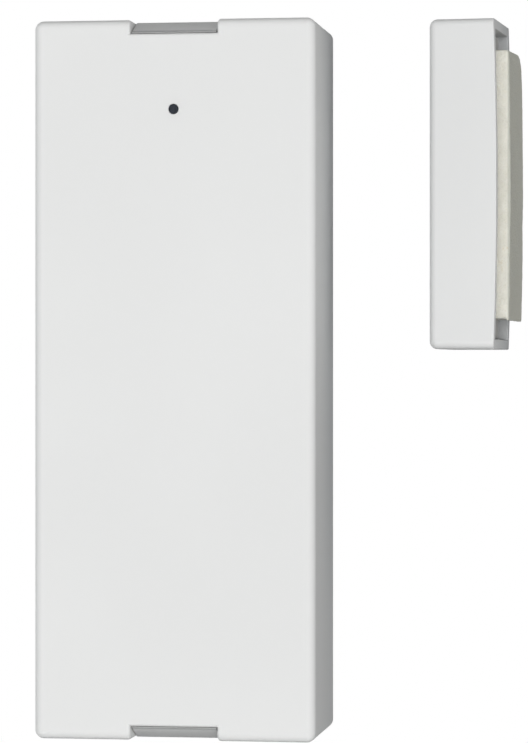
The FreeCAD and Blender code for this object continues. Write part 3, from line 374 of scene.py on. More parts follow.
def chip_finish():
    """Moulded resin with the round dimple that marks the first pin."""
    material, sheet = begin("chip_resin")
    x, y, z = axes(sheet)
    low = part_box("controller_chip")[0]
    top_face = 1 - y.rise(low.y + 0.03 * MM, low.y + 0.06 * MM)
    dimple = disc(x, z, (low.x + 0.75 * MM, low.z + 0.75 * MM), 0.32 * MM) * top_face
    spots = clouds(sheet, 0.09 * MM, 3.0)
    tone = clouds(sheet, 0.8 * MM, 2.0).rise(0.35, 0.7).between(paint(38, 38, 40), paint(50, 50, 52))
    sockets = {
        "Base Color": dimple.between(tone, paint(30, 30, 31)),
        "Roughness": 0.52 + 0.12 * spots - 0.28 * dimple,
    }
    return complete(material, sheet, sockets, 0.12 * spots - dimple, 0.05 * MM)


smoked_lens = smoked_finish()
black_resin = dark_finish("black_resin", paint(38, 38, 40), paint(50, 50, 52), 0.09 * MM, 0.5, 0.006 * MM)
holder_plastic = dark_finish("holder_plastic", paint(30, 30, 32), paint(38, 38, 40), 0.2 * MM, 0.36, 0.004 * MM)
red_plastic = dark_finish("red_plastic", paint(186, 34, 30), paint(198, 44, 38), 0.2 * MM, 0.3, 0.003 * MM)
print("lens, resin, nylon and red plastic ready")

# %% [markdown]
# ## Metals
#
# Every metal here is plated, but they don't look alike: tinned leads are bright and slightly lumpy, the coin cell
# is brushed in circles, stamped strips have fine straight lines, and the magnet is nickel over a sintered block.
# One function makes them all from a colour, a direction of brushing and a roughness.

# %% Metals
def metal_finish(name, tone, dull_tone, scales, roughness, depth):
    material, sheet = begin(name)
    lines = clouds(sheet, 1.0, 2.0, stretched(sheet, scales))
    patina = clouds(sheet, 2.4 * MM, 3.0).rise(0.35, 0.75)
    sockets = {
        "Base Color": patina.between(tone, dull_tone),
        "Roughness": roughness + 0.16 * lines + 0.03 * patina,
        "Metallic": 1.0,
    }
    return complete(material, sheet, sockets, lines, depth)


tinned_metal = metal_finish("tinned_metal", paint(216, 215, 212), paint(188, 186, 182), (2500,) * 3, 0.2, 0.008 * MM)
spring_metal = metal_finish("spring_metal", paint(206, 200, 186), paint(198, 192, 178), (9000, 500, 700), 0.24,
                            0.002 * MM)
screw_steel = metal_finish("screw_steel", paint(190, 191, 194), paint(176, 177, 181), (3000,) * 3, 0.26, 0.004 * MM)
can_metal = metal_finish("can_metal", paint(206, 204, 199), paint(200, 198, 193), (7000, 7000, 600), 0.22,
                         0.002 * MM)
magnet_metal = metal_finish("magnet_metal", paint(190, 190, 192), paint(160, 160, 164), (4000,) * 3, 0.28,
                            0.006 * MM)
copper_wire = metal_finish("copper_wire", paint(206, 122, 66), paint(178, 92, 46), (1800,) * 3, 0.18, 0.003 * MM)
print(len(bpy.data.materials), "materials so far")

# %% [markdown]
# ## The circuit board
#
# A board is glass laminate with copper tracks under green solder mask. The tracks show as slightly lighter,
# slightly raised lines, small plated holes join the two sides, and white print marks where the parts go. The cut
# edge shows the yellowish laminate itself. The tracks run between the real places of the leads.

# %% Copper tracks and plated holes, in millimetres across and up
TRACKS = [
    [(-3.2, 11.1), (-3.2, 12.2), (-4.3, 13.3), (-4.3, 14.7), (-5.7, 16.1)],
    [(-1.9, 11.1), (-1.9, 18.9), (-3.4, 20.4), (-4.0, 20.4)],
    [(-0.7, 11.1), (-0.7, 24.3), (-1.5, 25.1), (-1.5, 27.0)],
    [(0.6, 11.1), (0.6, 13.0), (1.4, 13.8)],
    [(4.4, 11.1), (4.4, 11.9), (6.2, 11.9), (7.4, 10.7)],
    [(8.8, 10.2), (9.6, 10.2), (10.2, 9.0)],
    [(8.8, 8.5), (10.2, 8.5)],
    [(-3.2, 5.8), (-3.2, 5.2), (-3.8, 4.6), (-3.8, 4.0)],
    [(4.4, 5.8), (4.4, 5.0), (3.8, 4.4), (3.8, 4.0)],
    [(-1.9, 5.8), (-1.9, -3.0), (-2.4, -3.5), (-2.4, -4.6)],
    [(-0.7, 5.8), (-0.7, -4.0)],
    [(0.6, 5.8), (0.6, -4.0)],
    [(1.9, 5.8), (1.9, -3.6), (1.4, -4.1)],
    [(3.1, 5.8), (3.1, 5.2), (2.6, 4.7), (2.6, -3.4), (3.4, -4.2), (8.2, -4.2), (8.2, -3.4)],
    [(-6.9, 8.4), (-5.6, 9.7), (-5.6, 12.4), (-3.0, 15.0), (-3.0, 17.4), (-3.6, 17.4)],
    [(-8.3, 4.0), (-8.3, 6.2), (-11.0, 8.9), (-11.0, 23.4), (-9.6, 24.8)],
    [(-8.3, -3.4), (-9.6, -4.7), (-9.6, -6.4)],
    [(10.9, -24.2), (10.9, 4.8), (8.3, 4.8), (8.3, 4.0)],
    [(1.5, 27.0), (3.0, 27.0)],
    [(-4.0, 22.1), (-2.2, 22.1), (0.4, 24.7), (3.4, 24.7)],
    [(7.6, 26.4), (9.0, 26.4), (10.2, 25.2), (10.2, 24.0)],
    [(-9.4, -24.6), (-9.4, -27.6), (6.4, -27.6), (8.0, -26.4)],
]
HOLES = [(-7.6, 6.6), (6.2, 6.6), (-1.5, 27.0), (1.5, 27.0), (2.6, 0.4), (-2.6, -3.0), (-9.6, -6.6), (6.9, 12.6),
         (10.6, -6.0), (10.6, -22.0), (-10.6, -8.0), (-10.9, 2.8), (-9.0, 12.0), (0.4, 24.7), (-3.4, 24.0)]
print(sum(len(route) - 1 for route in TRACKS), "track runs and", len(HOLES), "plated holes on the board")


# %% Lines on the board
def copper_lines(x, z):
    runs = []
    for route in TRACKS:
        points = [(across * MM, up * MM) for across, up in route]
        runs += [run_line(x, z, start, end, 0.15 * MM) for start, end in zip(points, points[1:])]
    return joined(runs)


def printed_lines(x, z):
    """White print: a frame round five parts, a ring round the can and a plus above the cell's clip."""
    lines = []
    for node, margin in (("tamper_switch_body", 0.35), ("learn_switch_body", 0.35), ("controller_chip", 0.3),
                         ("radio_transistor", 0.3), ("storage_capacitor", 0.35)):
        centre, half = middle(node), half_size(node)
        reach = (half.x + margin * MM, half.z + margin * MM)
        lines.append(frame_line(x, z, (centre.x, centre.z), reach))
    can = middle("resonator_can")
    radius = half_size("resonator_can").x
    ring = disc(x, z, (can.x, can.z), radius + 0.45 * MM) - disc(x, z, (can.x, can.z), radius + 0.3 * MM)
    sign = (0.0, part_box("cell_clip_positive")[1].z + 1.2 * MM)
    return joined(lines + [ring] + plus_sign(x, z, sign, 0.6 * MM, 0.1 * MM))


# %% Circuit board
def board_finish():
    material, sheet = begin("board_laminate")
    x, y, z = axes(sheet)
    low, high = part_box("circuit_board")
    front = 1 - y.rise(low.y + 0.01 * MM, low.y + 0.03 * MM)
    back = y.rise(high.y - 0.03 * MM, high.y - 0.01 * MM)
    tracks = copper_lines(x, z) * front
    rings = joined([disc(x, z, (across * MM, up * MM), 0.36 * MM) for across, up in HOLES])
    bores = joined([disc(x, z, (across * MM, up * MM), 0.17 * MM) for across, up in HOLES])
    printed = printed_lines(x, z) * front
    weave = clouds(sheet, 1.0, 1.0, stretched(sheet, (2200, 2200, 2200)))
    mask = tracks.between(paint(14, 84, 48), paint(30, 116, 66))
    plated = (rings * front.most(back)).between(mask, paint(206, 190, 128))
    # Painted shade: each plated hole's bore is a dark disc, standing in for the shade down the hole.
    bore_shaded = (bores * front.most(back)).between(plated, paint(20, 26, 20))
    inked = printed.between(bore_shaded, paint(232, 234, 228))
    laminate = weave.between(paint(150, 148, 92), paint(184, 180, 122))
    colour = front.most(back).between(laminate, inked)
    sockets = {
        "Base Color": colour,
        "Roughness": 0.3 + 0.08 * weave + 0.25 * printed,
        "Coat Weight": 0.35 * front.most(back) * (1 - printed),
    }
    return complete(material, sheet, sockets, tracks + rings - 2 * bores + 0.1 * weave, 0.03 * MM)


board_laminate = board_finish()
print("the board's finish has", len(board_laminate.node_tree.nodes), "nodes")

# %% [markdown]
# ## Parts that change along their length
#
# Chip resistors and capacitors have silver ends, the round capacitor has a dark mark on its top and a black foot,
# and the lamp has a pale body under a red lens. The coin cell is turned and brushed in circles, with a plus sign
# stamped in its face. All of these are one shader each, with masks at the right places.

# %% Chip ends and capacitor
def capped_finish(name, node, tone, high_tone):
    material, sheet = begin(name)
    x, y, z = axes(sheet)
    centre, half = middle(node), half_size(node)
    ends = (x - centre.x).size().rise(half.x - 0.36 * MM, half.x - 0.3 * MM)
    spots = clouds(sheet, 0.3 * MM, 2.0)
    body = spots.between(tone, high_tone)
    sockets = {
        "Base Color": ends.between(body, paint(214, 213, 210)),
        "Roughness": 0.45 - 0.15 * ends + 0.1 * spots,
        "Metallic": ends,
    }
    return complete(material, sheet, sockets, spots, 0.01 * MM)


def capacitor_finish():
    material, sheet = begin("capacitor_metal")
    x, y, z = axes(sheet)
    low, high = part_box("storage_capacitor")
    centre = middle("storage_capacitor")
    foot = y.rise(high.y - 0.72 * MM, high.y - 0.69 * MM)
    mark = (x - centre.x).rise(0.7 * MM, 0.76 * MM) * (1 - y.rise(low.y + 0.02 * MM, low.y + 0.05 * MM))
    drawn = clouds(sheet, 1.0, 2.0, stretched(sheet, (5000, 400, 5000)))
    vent = joined(plus_sign(x, z, (centre.x, centre.z), 1.25 * MM, 0.07 * MM))
    vent = vent * (1 - y.rise(low.y + 0.02 * MM, low.y + 0.05 * MM))
    dark = foot.most(mark)
    sockets = {
        "Base Color": dark.between(paint(220, 221, 224), paint(34, 34, 36)),
        "Roughness": 0.24 + 0.1 * drawn + 0.2 * dark,
        "Metallic": 1 - dark,
    }
    return complete(material, sheet, sockets, 0.06 * drawn - vent, 0.07 * MM)


chip_black = capped_finish("chip_black", "chip_resistors", paint(30, 30, 32), paint(44, 44, 46))
ceramic_brown = capped_finish("ceramic_brown", "chip_capacitors", paint(150, 118, 84), paint(176, 142, 104))
capacitor_metal = capacitor_finish()
print("resistors, capacitors and the round capacitor ready")


# %% Lamp and coin cell
def lamp_finish():
    material, sheet = begin("lamp_lens")
    x, y, z = axes(sheet)
    low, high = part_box("status_led")
    body = y.rise(low.y + 0.4 * MM, low.y + 0.42 * MM)
    ends = (x - middle("status_led").x).size().rise(0.72 * MM, 0.76 * MM) * body
    haze = clouds(sheet, 0.3 * MM, 2.0)
    colour = ends.between(body.between(paint(190, 60, 48), paint(226, 222, 210)), paint(206, 196, 150))
    sockets = {"Base Color": colour, "Roughness": 0.14 + 0.3 * body + 0.06 * haze, "Coat Weight": 1 - body}
    return complete(material, sheet, sockets, haze, 0.003 * MM)


def cell_finish():
    material, sheet = begin("cell_steel")
    x, y, z = axes(sheet)
    centre = middle("coin_cell")
    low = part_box("coin_cell")[0]
    squares = (x - centre.x) * (x - centre.x) + (z - centre.z) * (z - centre.z)
    radius = squares.maths("SQRT", squares)
    vector = sheet.add("ShaderNodeCombineXYZ", (), {0: radius * 9000, 1: y * 700})
    rings = clouds(sheet, 1.0, 2.0, vector)
    plus = joined(plus_sign(x, z, (centre.x, centre.z - 3.4 * MM), 1.1 * MM, 0.17 * MM))
    face = 1 - y.rise(low.y + 0.05 * MM, low.y + 0.1 * MM)
    step = radius.rise(8.55 * MM, 8.75 * MM) - radius.rise(8.95 * MM, 9.1 * MM)
    stamped = (plus + 0.6 * step) * face
    smudge = clouds(sheet, 5 * MM, 3.0).rise(0.4, 0.7)
    sockets = {
        "Base Color": smudge.between(paint(208, 207, 204), paint(201, 200, 196)),
        "Roughness": 0.2 + 0.14 * rings + 0.03 * smudge,
        "Metallic": 1.0,
    }
    return complete(material, sheet, sockets, 0.12 * rings - stamped, 0.06 * MM)


lamp_lens = lamp_finish()
cell_steel = cell_finish()
print("lamp and coin cell ready")

# %% [markdown]
# ## Glass
#
# The reed switch is sealed in a thin glass capsule with a faint green cast. Real refraction is worth its few
# bounces here, because the two blades inside are what a curious eye looks for.

# %% Reed glass
def glass_finish():
    material, sheet = begin("reed_glass")
    ripple = clouds(sheet, 1.2 * MM, 2.0)
    colour = ripple.between(paint(226, 240, 232), paint(236, 246, 240))
    sockets = {"Base Color": colour, "Roughness": 0.02 + 0.03 * ripple, "IOR": 1.5, "Transmission Weight": 0.92}
    return complete(material, sheet, sockets, ripple, 0.01 * MM)


reed_glass = glass_finish()
print(len(bpy.data.materials), "materials now")

# %% Finishes on the CAD nodes that keep their shape
FINISHES = {
    "light_pipe": smoked_lens,
    "circuit_board": board_laminate,
    "board_screws": screw_steel,
    "reed_capsule": reed_glass,
    "reed_blade_upper": tinned_metal,
    "reed_blade_lower": tinned_metal,
    "coin_cell": cell_steel,
    "tamper_plunger": red_plastic,
    "learn_button": holder_plastic,
    "switch_terminals": tinned_metal,
    "controller_leads": tinned_metal,
    "transistor_leads": tinned_metal,
    "resonator_can": can_metal,
    "antenna_coil": copper_wire,
    "storage_capacitor": capacitor_metal,
    "status_led": lamp_lens,
    "chip_resistors": chip_black,
    "chip_capacitors": ceramic_brown,
    "bar_magnet": magnet_metal,
}
for node, material in FINISHES.items():
    nodes[node].data.materials.clear()
    nodes[node].data.materials.append(material)
print(len(FINISHES), "CAD nodes keep their shape and get a finish")

# %% [markdown]
# ## Softened edges
#
# No moulded edge is a knife edge: even a sharp mould leaves a tenth of a millimetre of radius, and that is what
# catches the light along a rim or a slot. A bevel could be drawn in CAD, but it is far lighter here. The piece is a
# copy of the CAD surface, merged, with its flat triangles dissolved, and then a Bevel modifier on what is left of
# the sharp edges. Weighted normals keep the big faces flat.

# %% Selecting, modifying and dressing
SHARP = math.radians(40)


def choose(*pieces):
    bpy.ops.object.select_all(action="DESELECT")
    for piece in pieces:
        piece.select_set(True)
    bpy.context.view_layer.objects.active = pieces[-1]


def apply_modifier(piece, kind, **settings):
    choose(piece)
    bpy.ops.object.modifier_add(type=kind)
    modifier = piece.modifiers[-1]
    for name, value in settings.items():
        setattr(modifier, name, value)
    bpy.ops.object.modifier_apply(modifier=modifier.name)


def dress(piece, material, body):
    piece.data.materials.clear()
    piece.data.materials.append(material)
    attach(piece, body)


def choose_edges(piece, wanted):
    """Selects, in edit mode, the edges whose two ends both fit."""
    bpy.context.tool_settings.mesh_select_mode = (False, True, False)
    bpy.ops.mesh.select_all(action="DESELECT")
    bpy.ops.object.mode_set(mode="OBJECT")
    points = piece.data.vertices
    for edge in piece.data.edges:
        edge.select = wanted(*[points[index].co / MM for index in edge.vertices])
    bpy.ops.object.mode_set(mode="EDIT")


# %% Notches and tongues, in millimetres
CASE_FRONT, CASE_END, CASE_ROUND = -16, 36, 0.9
NOTCH_SIDE, NOTCH_FLOOR = 4.4, 34.58
TIP_EDGES = ((34.88, -0.22), (34.73, -0.1))
NEAR = 0.01


def round_notches(piece):
    """Rounds the cover's notches where the front and the end wall meet them."""
    def outer(point):
        ahead = CASE_FRONT + CASE_ROUND - point.y
        beyond = abs(point.z) - (CASE_END - CASE_ROUND)
        on_round = ahead > 0 and beyond > 0 and math.hypot(ahead, beyond) > CASE_ROUND - NEAR
        return point.y < CASE_FRONT + NEAR or abs(point.z) > CASE_END - NEAR or on_round

    def on_side(point):
        return abs(abs(point.x) - NOTCH_SIDE) < NEAR and abs(point.z) > NOTCH_FLOOR - 0.08 and outer(point)

    def on_floor(point):
        inside = abs(point.x) < NOTCH_SIDE + NEAR and point.y < CASE_FRONT + NEAR
        return inside and abs(abs(point.z) - NOTCH_FLOOR) < NEAR

    def rim(first, last):
        sides = on_side(first) and on_side(last) and first.x * last.x > 0
        return sides or (on_floor(first) and on_floor(last))

    choose_edges(piece, rim)
    print("notch edges rounded:", sum(edge.select for edge in piece.data.edges))
    bpy.ops.mesh.bevel(offset=0.3 * MM, segments=3, affect="EDGES")


def thin_tongues(piece):
    """Draws the blunt tips of the base's end tongues out to a thin lip, close to the notch's floor."""
    def at_tip(point, height):
        return point.y < CASE_FRONT + 0.2 and abs(point.z - height) < NEAR

    for side in (1, -1):
        for height, shift in TIP_EDGES:
            choose_edges(piece, lambda first, last: at_tip(first, side * height) and at_tip(last, side * height))
            bpy.ops.transform.translate(value=(0, 0, shift * side * MM))


# %% Copies of CAD nodes with softened edges
RESHAPE = {"front_cover": round_notches, "rear_base": thin_tongues}


def softened(node, width, material, body, segments=2):
    piece = bpy.data.objects.new(f"{node}_soft", nodes[node].data.copy())
    bpy.context.scene.collection.objects.link(piece)
    choose(piece)
    bpy.ops.mesh.customdata_custom_splitnormals_clear()
    bpy.ops.object.mode_set(mode="EDIT")
    bpy.ops.mesh.select_all(action="SELECT")
    bpy.ops.mesh.remove_doubles(threshold=0.001 * MM)
    bpy.ops.mesh.dissolve_limited(angle_limit=math.radians(0.5))
    if node in RESHAPE:
        RESHAPE[node](piece)
    bpy.ops.object.mode_set(mode="OBJECT")
    apply_modifier(piece, "BEVEL", width=width, segments=segments, limit_method="ANGLE", angle_limit=SHARP)
    choose(piece)
    bpy.ops.object.shade_smooth_by_angle(angle=SHARP)
    apply_modifier(piece, "WEIGHTED_NORMAL", keep_sharp=True)
    dress(piece, material, body)
    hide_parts(node)
    return piece


SOFTENED = [
    ("front_cover", 0.12, case_plastic, "cover", "case_plastic"),
    ("rear_base", 0.1, base_plastic, "sensor_base", "base_plastic"),
    ("magnet_cover", 0.12, case_plastic, "magnet_half", "case_plastic"),
    ("magnet_carrier", 0.1, carrier_shaded_plastic, "magnet_half", "base_plastic"),
    ("cell_holder", 0.1, holder_plastic, "sensor_base", "holder_plastic"),
    ("tamper_switch_body", 0.12, black_resin, "sensor_base", "black_resin"),
    ("learn_switch_body", 0.12, black_resin, "sensor_base", "black_resin"),
    ("controller_chip", 0.08, chip_finish(), "sensor_base", "black_resin"),
    ("radio_transistor", 0.06, black_resin, "sensor_base", "black_resin"),
    ("cell_clip_positive", 0.06, spring_metal, "sensor_base", "spring_metal"),
    ("cell_contact_negative", 0.05, spring_metal, "sensor_base", "spring_metal"),
]
for node, width, material, body, slot in SOFTENED:
    piece = softened(node, width * MM, material, body)
    print(piece.name, len(piece.data.polygons), "faces")

# %% [markdown]
# ## Switch plates
#
# Each push switch is closed by a steel plate with four rivet heads, and the button comes up through its hole. The
# hole could be left to the finish, but its edge shows from the side. So the plate is a thin block with a bore cut
# by a Boolean, and one rivet head is modelled and copied to the corners.

# %% New pieces and their copies
def new_piece(name):
    """Names the primitive that was just added, and moves its place, turn and size into its mesh."""
    piece = bpy.context.object
    piece.name = name
    bpy.ops.object.transform_apply(location=True, rotation=True, scale=True)
    return piece


def copy_of(piece, name, shift):
    twin = bpy.data.objects.new(name, piece.data.copy())
    bpy.context.scene.collection.objects.link(twin)
    choose(twin)
    bpy.ops.object.mode_set(mode="EDIT")
    bpy.ops.mesh.select_all(action="SELECT")
    bpy.ops.transform.translate(value=shift)
    bpy.ops.object.mode_set(mode="OBJECT")
    return twin


# %% Steel plates with rivets
PLATE_SIDE = 5.7 * MM
PLATE_THICKNESS = 0.15 * MM
BUTTON_BORE = 1.95 * MM
RIVET_RADIUS = 0.34 * MM
RIVET_HEIGHT = 0.16 * MM
RIVET_SPACING = 4.6 * MM
LYING = (math.pi / 2, 0, 0)


def rivet_head(name, spot):
    bpy.ops.object.select_all(action="DESELECT")
    bpy.ops.mesh.primitive_cylinder_add(vertices=20, radius=RIVET_RADIUS, depth=RIVET_HEIGHT, location=spot,
                                        rotation=LYING)
    rivet = new_piece(name)
    bpy.ops.object.mode_set(mode="EDIT")
    choose_edges(rivet, lambda first, last: max(first.y, last.y) < spot[1] / MM - 0.03)
    bpy.ops.mesh.bevel(offset=0.11 * MM, segments=3, affect="EDGES")
    bpy.ops.object.mode_set(mode="OBJECT")
    return rivet


def switch_plate(node):
    centre = middle(node)
    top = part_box(node)[0].y
    bpy.ops.object.select_all(action="DESELECT")
    bpy.ops.mesh.primitive_cube_add(size=1, location=(centre.x, top - PLATE_THICKNESS / 2, centre.z),
                                    scale=(PLATE_SIDE, PLATE_THICKNESS, PLATE_SIDE))
    plate = new_piece(f"{node}_plate")
    bpy.ops.mesh.primitive_cylinder_add(vertices=48, radius=BUTTON_BORE, depth=MM, rotation=LYING,
                                        location=(centre.x, top, centre.z))
    bore = new_piece("bore")
    apply_modifier(plate, "BOOLEAN", object=bore, operation="DIFFERENCE", solver="EXACT")
    bpy.data.objects.remove(bore)
    apply_modifier(plate, "BEVEL", width=0.04 * MM, segments=2, limit_method="ANGLE", angle_limit=SHARP)
    corner = (centre.x - RIVET_SPACING / 2, top - 0.17 * MM, centre.z - RIVET_SPACING / 2)
    rivet = rivet_head(f"{node}_rivet", corner)
    rivets = [copy_of(rivet, f"{node}_rivet_{count}", (across * RIVET_SPACING, 0, up * RIVET_SPACING))
              for count, (across, up) in enumerate(((1, 0), (0, 1), (1, 1)))]
    choose(*rivets, rivet, plate)
    bpy.ops.object.join()
    bpy.ops.object.shade_smooth_by_angle(angle=SHARP)
    dress(plate, screw_steel, "sensor_base")
    return plate


for node in ("tamper_switch_body", "learn_switch_body"):
    plate = switch_plate(node)
    print(plate.name, len(plate.data.polygons), "faces")

# %% [markdown]
# ## Solder joints
#
# Where a leg meets the board, solder climbs it in a small hollow cone. A plain cone looks like a spike, so the
# joint is a disc that is extruded upwards five times, each time by a bit more and narrower, which gives the hollow
# curve. One joint is modelled, and copies go to the legs of the switches, the reed, the coil and the cell clip.

# %% Solder joints
BOARD_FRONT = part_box("circuit_board")[0].y
CLIMB = ((0.05, 0.94), (0.05, 0.78), (0.09, 0.76), (0.14, 0.82), (0.08, 0.7))


def solder_joint(name, spot, radius):
    bpy.ops.object.select_all(action="DESELECT")
    bpy.ops.mesh.primitive_circle_add(vertices=18, radius=radius * MM, fill_type="NGON", rotation=LYING,
                                      location=(spot[0] * MM, BOARD_FRONT + 0.02 * MM, spot[1] * MM))
    joint = new_piece(name)
    bpy.ops.object.mode_set(mode="EDIT")
    bpy.ops.mesh.select_all(action="SELECT")
    for height, share in CLIMB:
        bpy.ops.mesh.extrude_region_move(TRANSFORM_OT_translate={"value": (0, -height * MM, 0)})
        bpy.ops.transform.resize(value=(share, 1, share), center_override=(spot[0] * MM, 0, spot[1] * MM))
    bpy.ops.mesh.select_all(action="SELECT")
    bpy.ops.mesh.normals_make_consistent(inside=False)
    bpy.ops.object.mode_set(mode="OBJECT")
    bpy.ops.object.shade_smooth_by_angle(angle=math.radians(60))
    return joint


# %% A joint at each leg
FIRST = (-8.25, -3.01)
TERMINALS = [(across, up) for across in (-8.25, -3.75, 3.75, 8.25) for up in (-3.01, 3.69)]
LEGS = TERMINALS + [(10.2, 24.0), (10.2, 9.0), (-6.85, 8.45), (-1.35, -4.25), (1.35, -4.25)]
pattern = solder_joint("solder_0", FIRST, 0.62)
joints = [pattern] + [copy_of(pattern, f"solder_{count}", ((spot[0] - FIRST[0]) * MM, 0, (spot[1] - FIRST[1]) * MM))
                      for count, spot in enumerate(LEGS) if spot != FIRST]
for joint in joints:
    dress(joint, tinned_metal, "sensor_base")
print(len(joints), "solder joints")

# %% [markdown]
# ## Foam pads
#
# A pad is die-cut foam: its corners are soft, its cut sides are a little wavy, and the free face of the magnet
# half's pad bulges at its middle. A cushion could be simulated, but this foam is stiff and hardly gives. So a cube
# at the pad's size gets rounded edges, is remeshed into small even cells, and is then swelled by soft noise and
# moved outwards along a low crown.

# %% Foam by modifiers
SHOULDER = 1.9 * MM


def swell_texture(name, size):
    texture = bpy.data.textures.new(name, "CLOUDS")
    texture.noise_scale = size
    texture.noise_depth = 2
    return texture


WAVES = swell_texture("foam_waves", 3.2 * MM)
CELLS = swell_texture("foam_cells", 0.5 * MM)


def foam_pad(name, centre, size, turn, rounding, voxel, waves, pit_shade, corner=None):
    bpy.ops.object.select_all(action="DESELECT")
    bpy.ops.mesh.primitive_cube_add(size=1, location=centre, rotation=(0, 0, turn), scale=size)
    pad = new_piece(name)
    if corner:
        bpy.ops.object.mode_set(mode="EDIT")
        choose_edges(pad, corner)
        bpy.ops.mesh.bevel(offset=SHOULDER, segments=6, affect="EDGES")
        bpy.ops.object.mode_set(mode="OBJECT")
    apply_modifier(pad, "BEVEL", width=rounding, segments=4, limit_method="ANGLE", angle_limit=SHARP)
    apply_modifier(pad, "REMESH", mode="VOXEL", voxel_size=voxel)
    apply_modifier(pad, "DISPLACE", texture=WAVES, texture_coords="LOCAL", strength=waves, mid_level=0.5)
    apply_modifier(pad, "DISPLACE", texture=CELLS, texture_coords="LOCAL", strength=pit_shade, mid_level=0.5)
    choose(pad)
    bpy.ops.object.shade_smooth()
    return pad


# %% The crown of the magnet half's pad
SWELL_DEPTH = 0.9 * MM
SKIN_START, SKIN_DEPTH = 0.75 * MM, 0.35 * MM


def share_of(value):
    return min(max(value, 0), 1)


def crown(pad, centre, size, height, lean, droop):
    """Swells the outer half of the pad at its middle, leans its face and lets the low end of its skin hang."""
    for vertex in pad.data.vertices:
        offset = vertex.co - centre
        outwards = offset.dot(TURN_ACROSS)
        swollen = share_of(outwards / SWELL_DEPTH)
        hanging = share_of((outwards - SKIN_START) / SKIN_DEPTH)
        length_bow = 1 - (2 * offset.z / size.z) ** 2
        backwards = 2 * offset.dot(TURN_BACK) / size.y
        low = max(-2 * offset.z / size.z, 0) ** 2
        vertex.co += TURN_ACROSS * (swollen * (length_bow * height + backwards * lean))
        vertex.co.z -= hanging * low * droop
    pad.data.update()


# %% The magnet half's pad
PAD_SIZE = Vector((2.3, 7.16, 26.9)) * MM
PAD_START_ACROSS, PAD_START_BACK = 5.65 * MM, 1.87 * MM
pad_centre = (TURN_CENTRE + TURN_ACROSS * (PAD_START_ACROSS + PAD_SIZE.x / 2)
              + TURN_BACK * (PAD_START_BACK + PAD_SIZE.y / 2))
pad_centre.z = middle("magnet_foam_pad").z


def high_back(first, last):
    """The pad's edge at its top and back, which lies across the pad."""
    def there(point):
        return point.z > pad_centre.z / MM and (point * MM - pad_centre).dot(TURN_BACK) > 0

    return there(first) and there(last)


door_pad = foam_pad("door_pad", pad_centre, PAD_SIZE, TURN, 0.22 * MM, 0.14 * MM, 0.1 * MM, 0.04 * MM, high_back)
crown(door_pad, pad_centre, PAD_SIZE, 0.15 * MM, 0.16 * MM, 0.3 * MM)
dress(door_pad, foam, "magnet_half")
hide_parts("magnet_foam_pad")
print("the magnet half's pad has", len(door_pad.data.polygons), "faces")

# %% The sensor half's pad
wall_low, wall_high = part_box("sensor_foam_pad")
wall_pad = foam_pad("wall_pad", (wall_low + wall_high) / 2, wall_high - wall_low, 0, 0.3 * MM, 0.2 * MM,
                    0.06 * MM, 0.03 * MM)
dress(wall_pad, foam, "sensor_base")
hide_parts("sensor_foam_pad")
print("the sensor half's pad has", len(wall_pad.data.polygons), "faces")

# %% [markdown]
# ## The studio
#
# The photograph has soft light from the camera's side, a white background and hardly any shadow. Lamps could be
# placed for that, but each would leave a mark in every shiny part. So the world itself is the lamp: a broad, bright
# patch a little to the right of the view, a weaker one at its left and a small one low at the right. One panel
# behind lights the back, which the photograph doesn't show. To the camera and in gloss the world is plain white.

# %% Where the light comes from
KEY_LIGHT = 1.97
FILL_LIGHT = 0.77
LOW_LIGHT = 0.38
ROUND_LIGHT = 0.03
KEY_FROM = Vector((0.383, -0.923, -0.03))
FILL_FROM = Vector((-0.905, -0.423, -0.03))
LOW_FROM = Vector((0.906, -0.3, -0.3))
REAR_WATTS = 9.0


def seen(sheet):
    """1 for what the camera sees, directly or in gloss and glass."""
    rays = sheet.add("ShaderNodeLightPath", output="Is Camera Ray")
    glossy = Shade(rays.tree, rays.socket.node.outputs["Is Glossy Ray"])
    through = Shade(rays.tree, rays.socket.node.outputs["Is Transmission Ray"])
    return rays.most(glossy).most(through)


# %% The world
world = bpy.data.worlds.new("studio_world")
bpy.context.scene.world = world
world.use_nodes = True
world.node_tree.nodes.clear()
air = Shade(world.node_tree)
towards = air.add("ShaderNodeTexCoord", output="Generated")
towards_key, towards_fill, towards_low = [
    towards.add("ShaderNodeVectorMath", {"operation": "DOT_PRODUCT"}, {0: towards, 1: lamp_from}, "Value")
    for lamp_from in (KEY_FROM, FILL_FROM, LOW_FROM)]
height = towards.add("ShaderNodeSeparateXYZ", (), {0: towards}, "Z")
level = 1 - (height + 0.02).size().rise(0.42, 0.86)
lamps = towards_key.rise(0.6, 0.9) * KEY_LIGHT + towards_fill.rise(0.3, 0.8) * FILL_LIGHT
soft_front = level * lamps + towards_low.rise(0.8, 0.95) * LOW_LIGHT + ROUND_LIGHT
strength = soft_front + seen(air) * (1 - soft_front)
cool = (towards_key.rise(0.6, 0.95) + seen(air)).least(1)
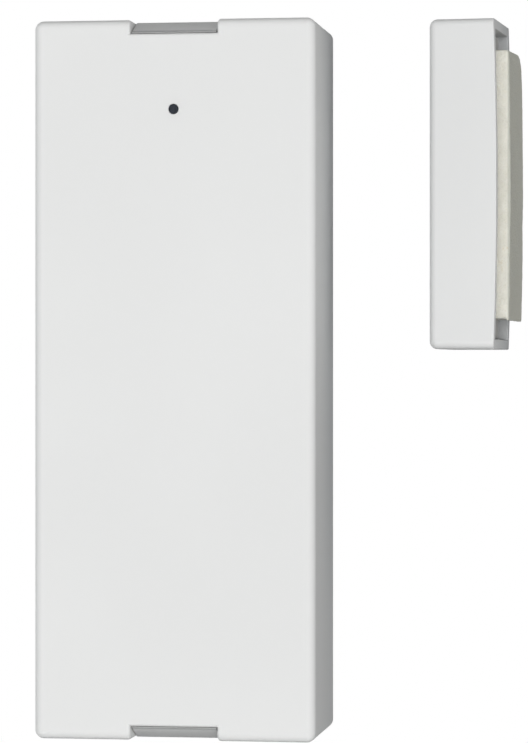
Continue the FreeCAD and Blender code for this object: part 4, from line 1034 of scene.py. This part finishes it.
colour = cool.between((0.97, 0.99, 1.0, 1.0), (1, 1, 1, 1))
backdrop = air.add("ShaderNodeBackground", (), {"Color": colour, "Strength": strength})
air.add("ShaderNodeOutputWorld", (), {"Surface": backdrop})
print("the world has", len(world.node_tree.nodes), "nodes")


# %% The floor
FLOOR_HEIGHT = -0.075
FLOOR_RADIUS = 2.5


def floor_finish():
    material, sheet = begin("pale_floor")
    x, y, z = axes(sheet)
    squares = x * x + y * y
    distance = squares.maths("SQRT", squares)
    grain = clouds(sheet, 2 * MM, 2.0)
    tone = grain.between(paint(232, 232, 231), paint(236, 236, 235))
    paper = sheet.add("ShaderNodeBsdfDiffuse", (), {"Color": tone})
    glow = sheet.add("ShaderNodeEmission", (), {"Color": (1, 1, 1, 1), "Strength": 0.62})
    near = sheet.add("ShaderNodeAddShader", (), {0: paper, 1: glow})
    white = sheet.add("ShaderNodeEmission", (), {"Color": (1, 1, 1, 1), "Strength": 1.0})
    shown = sheet.add("ShaderNodeMixShader", (), {0: distance.rise(0.12, 0.34), 1: near, 2: white})
    clear = sheet.add("ShaderNodeBsdfTransparent")
    surface = sheet.add("ShaderNodeMixShader", (), {0: seen(sheet), 1: clear, 2: shown})
    sheet.add("ShaderNodeOutputMaterial", (), {"Surface": surface})
    return material


bpy.ops.object.select_all(action="DESELECT")
bpy.ops.mesh.primitive_circle_add(vertices=96, radius=FLOOR_RADIUS, fill_type="NGON", location=(0, 0, FLOOR_HEIGHT))
floor = new_piece("floor")
floor.data.materials.append(floor_finish())
print("the floor lies", round(-FLOOR_HEIGHT / MM), "mm below the sensor half's middle")

# %% The panel behind
REAR_PLACE = Vector((-0.3, 0.9, 0.12))
REAR_SIZE = 0.7

bpy.ops.object.light_add(type="AREA", location=REAR_PLACE)
lamp = bpy.context.object
lamp.name = "rear_panel"
lamp.rotation_euler = (-REAR_PLACE).to_track_quat("-Z", "Y").to_euler()
lamp.data.energy = REAR_WATTS
lamp.data.size = REAR_SIZE
print("the rear panel gives", lamp.data.energy, "watts")
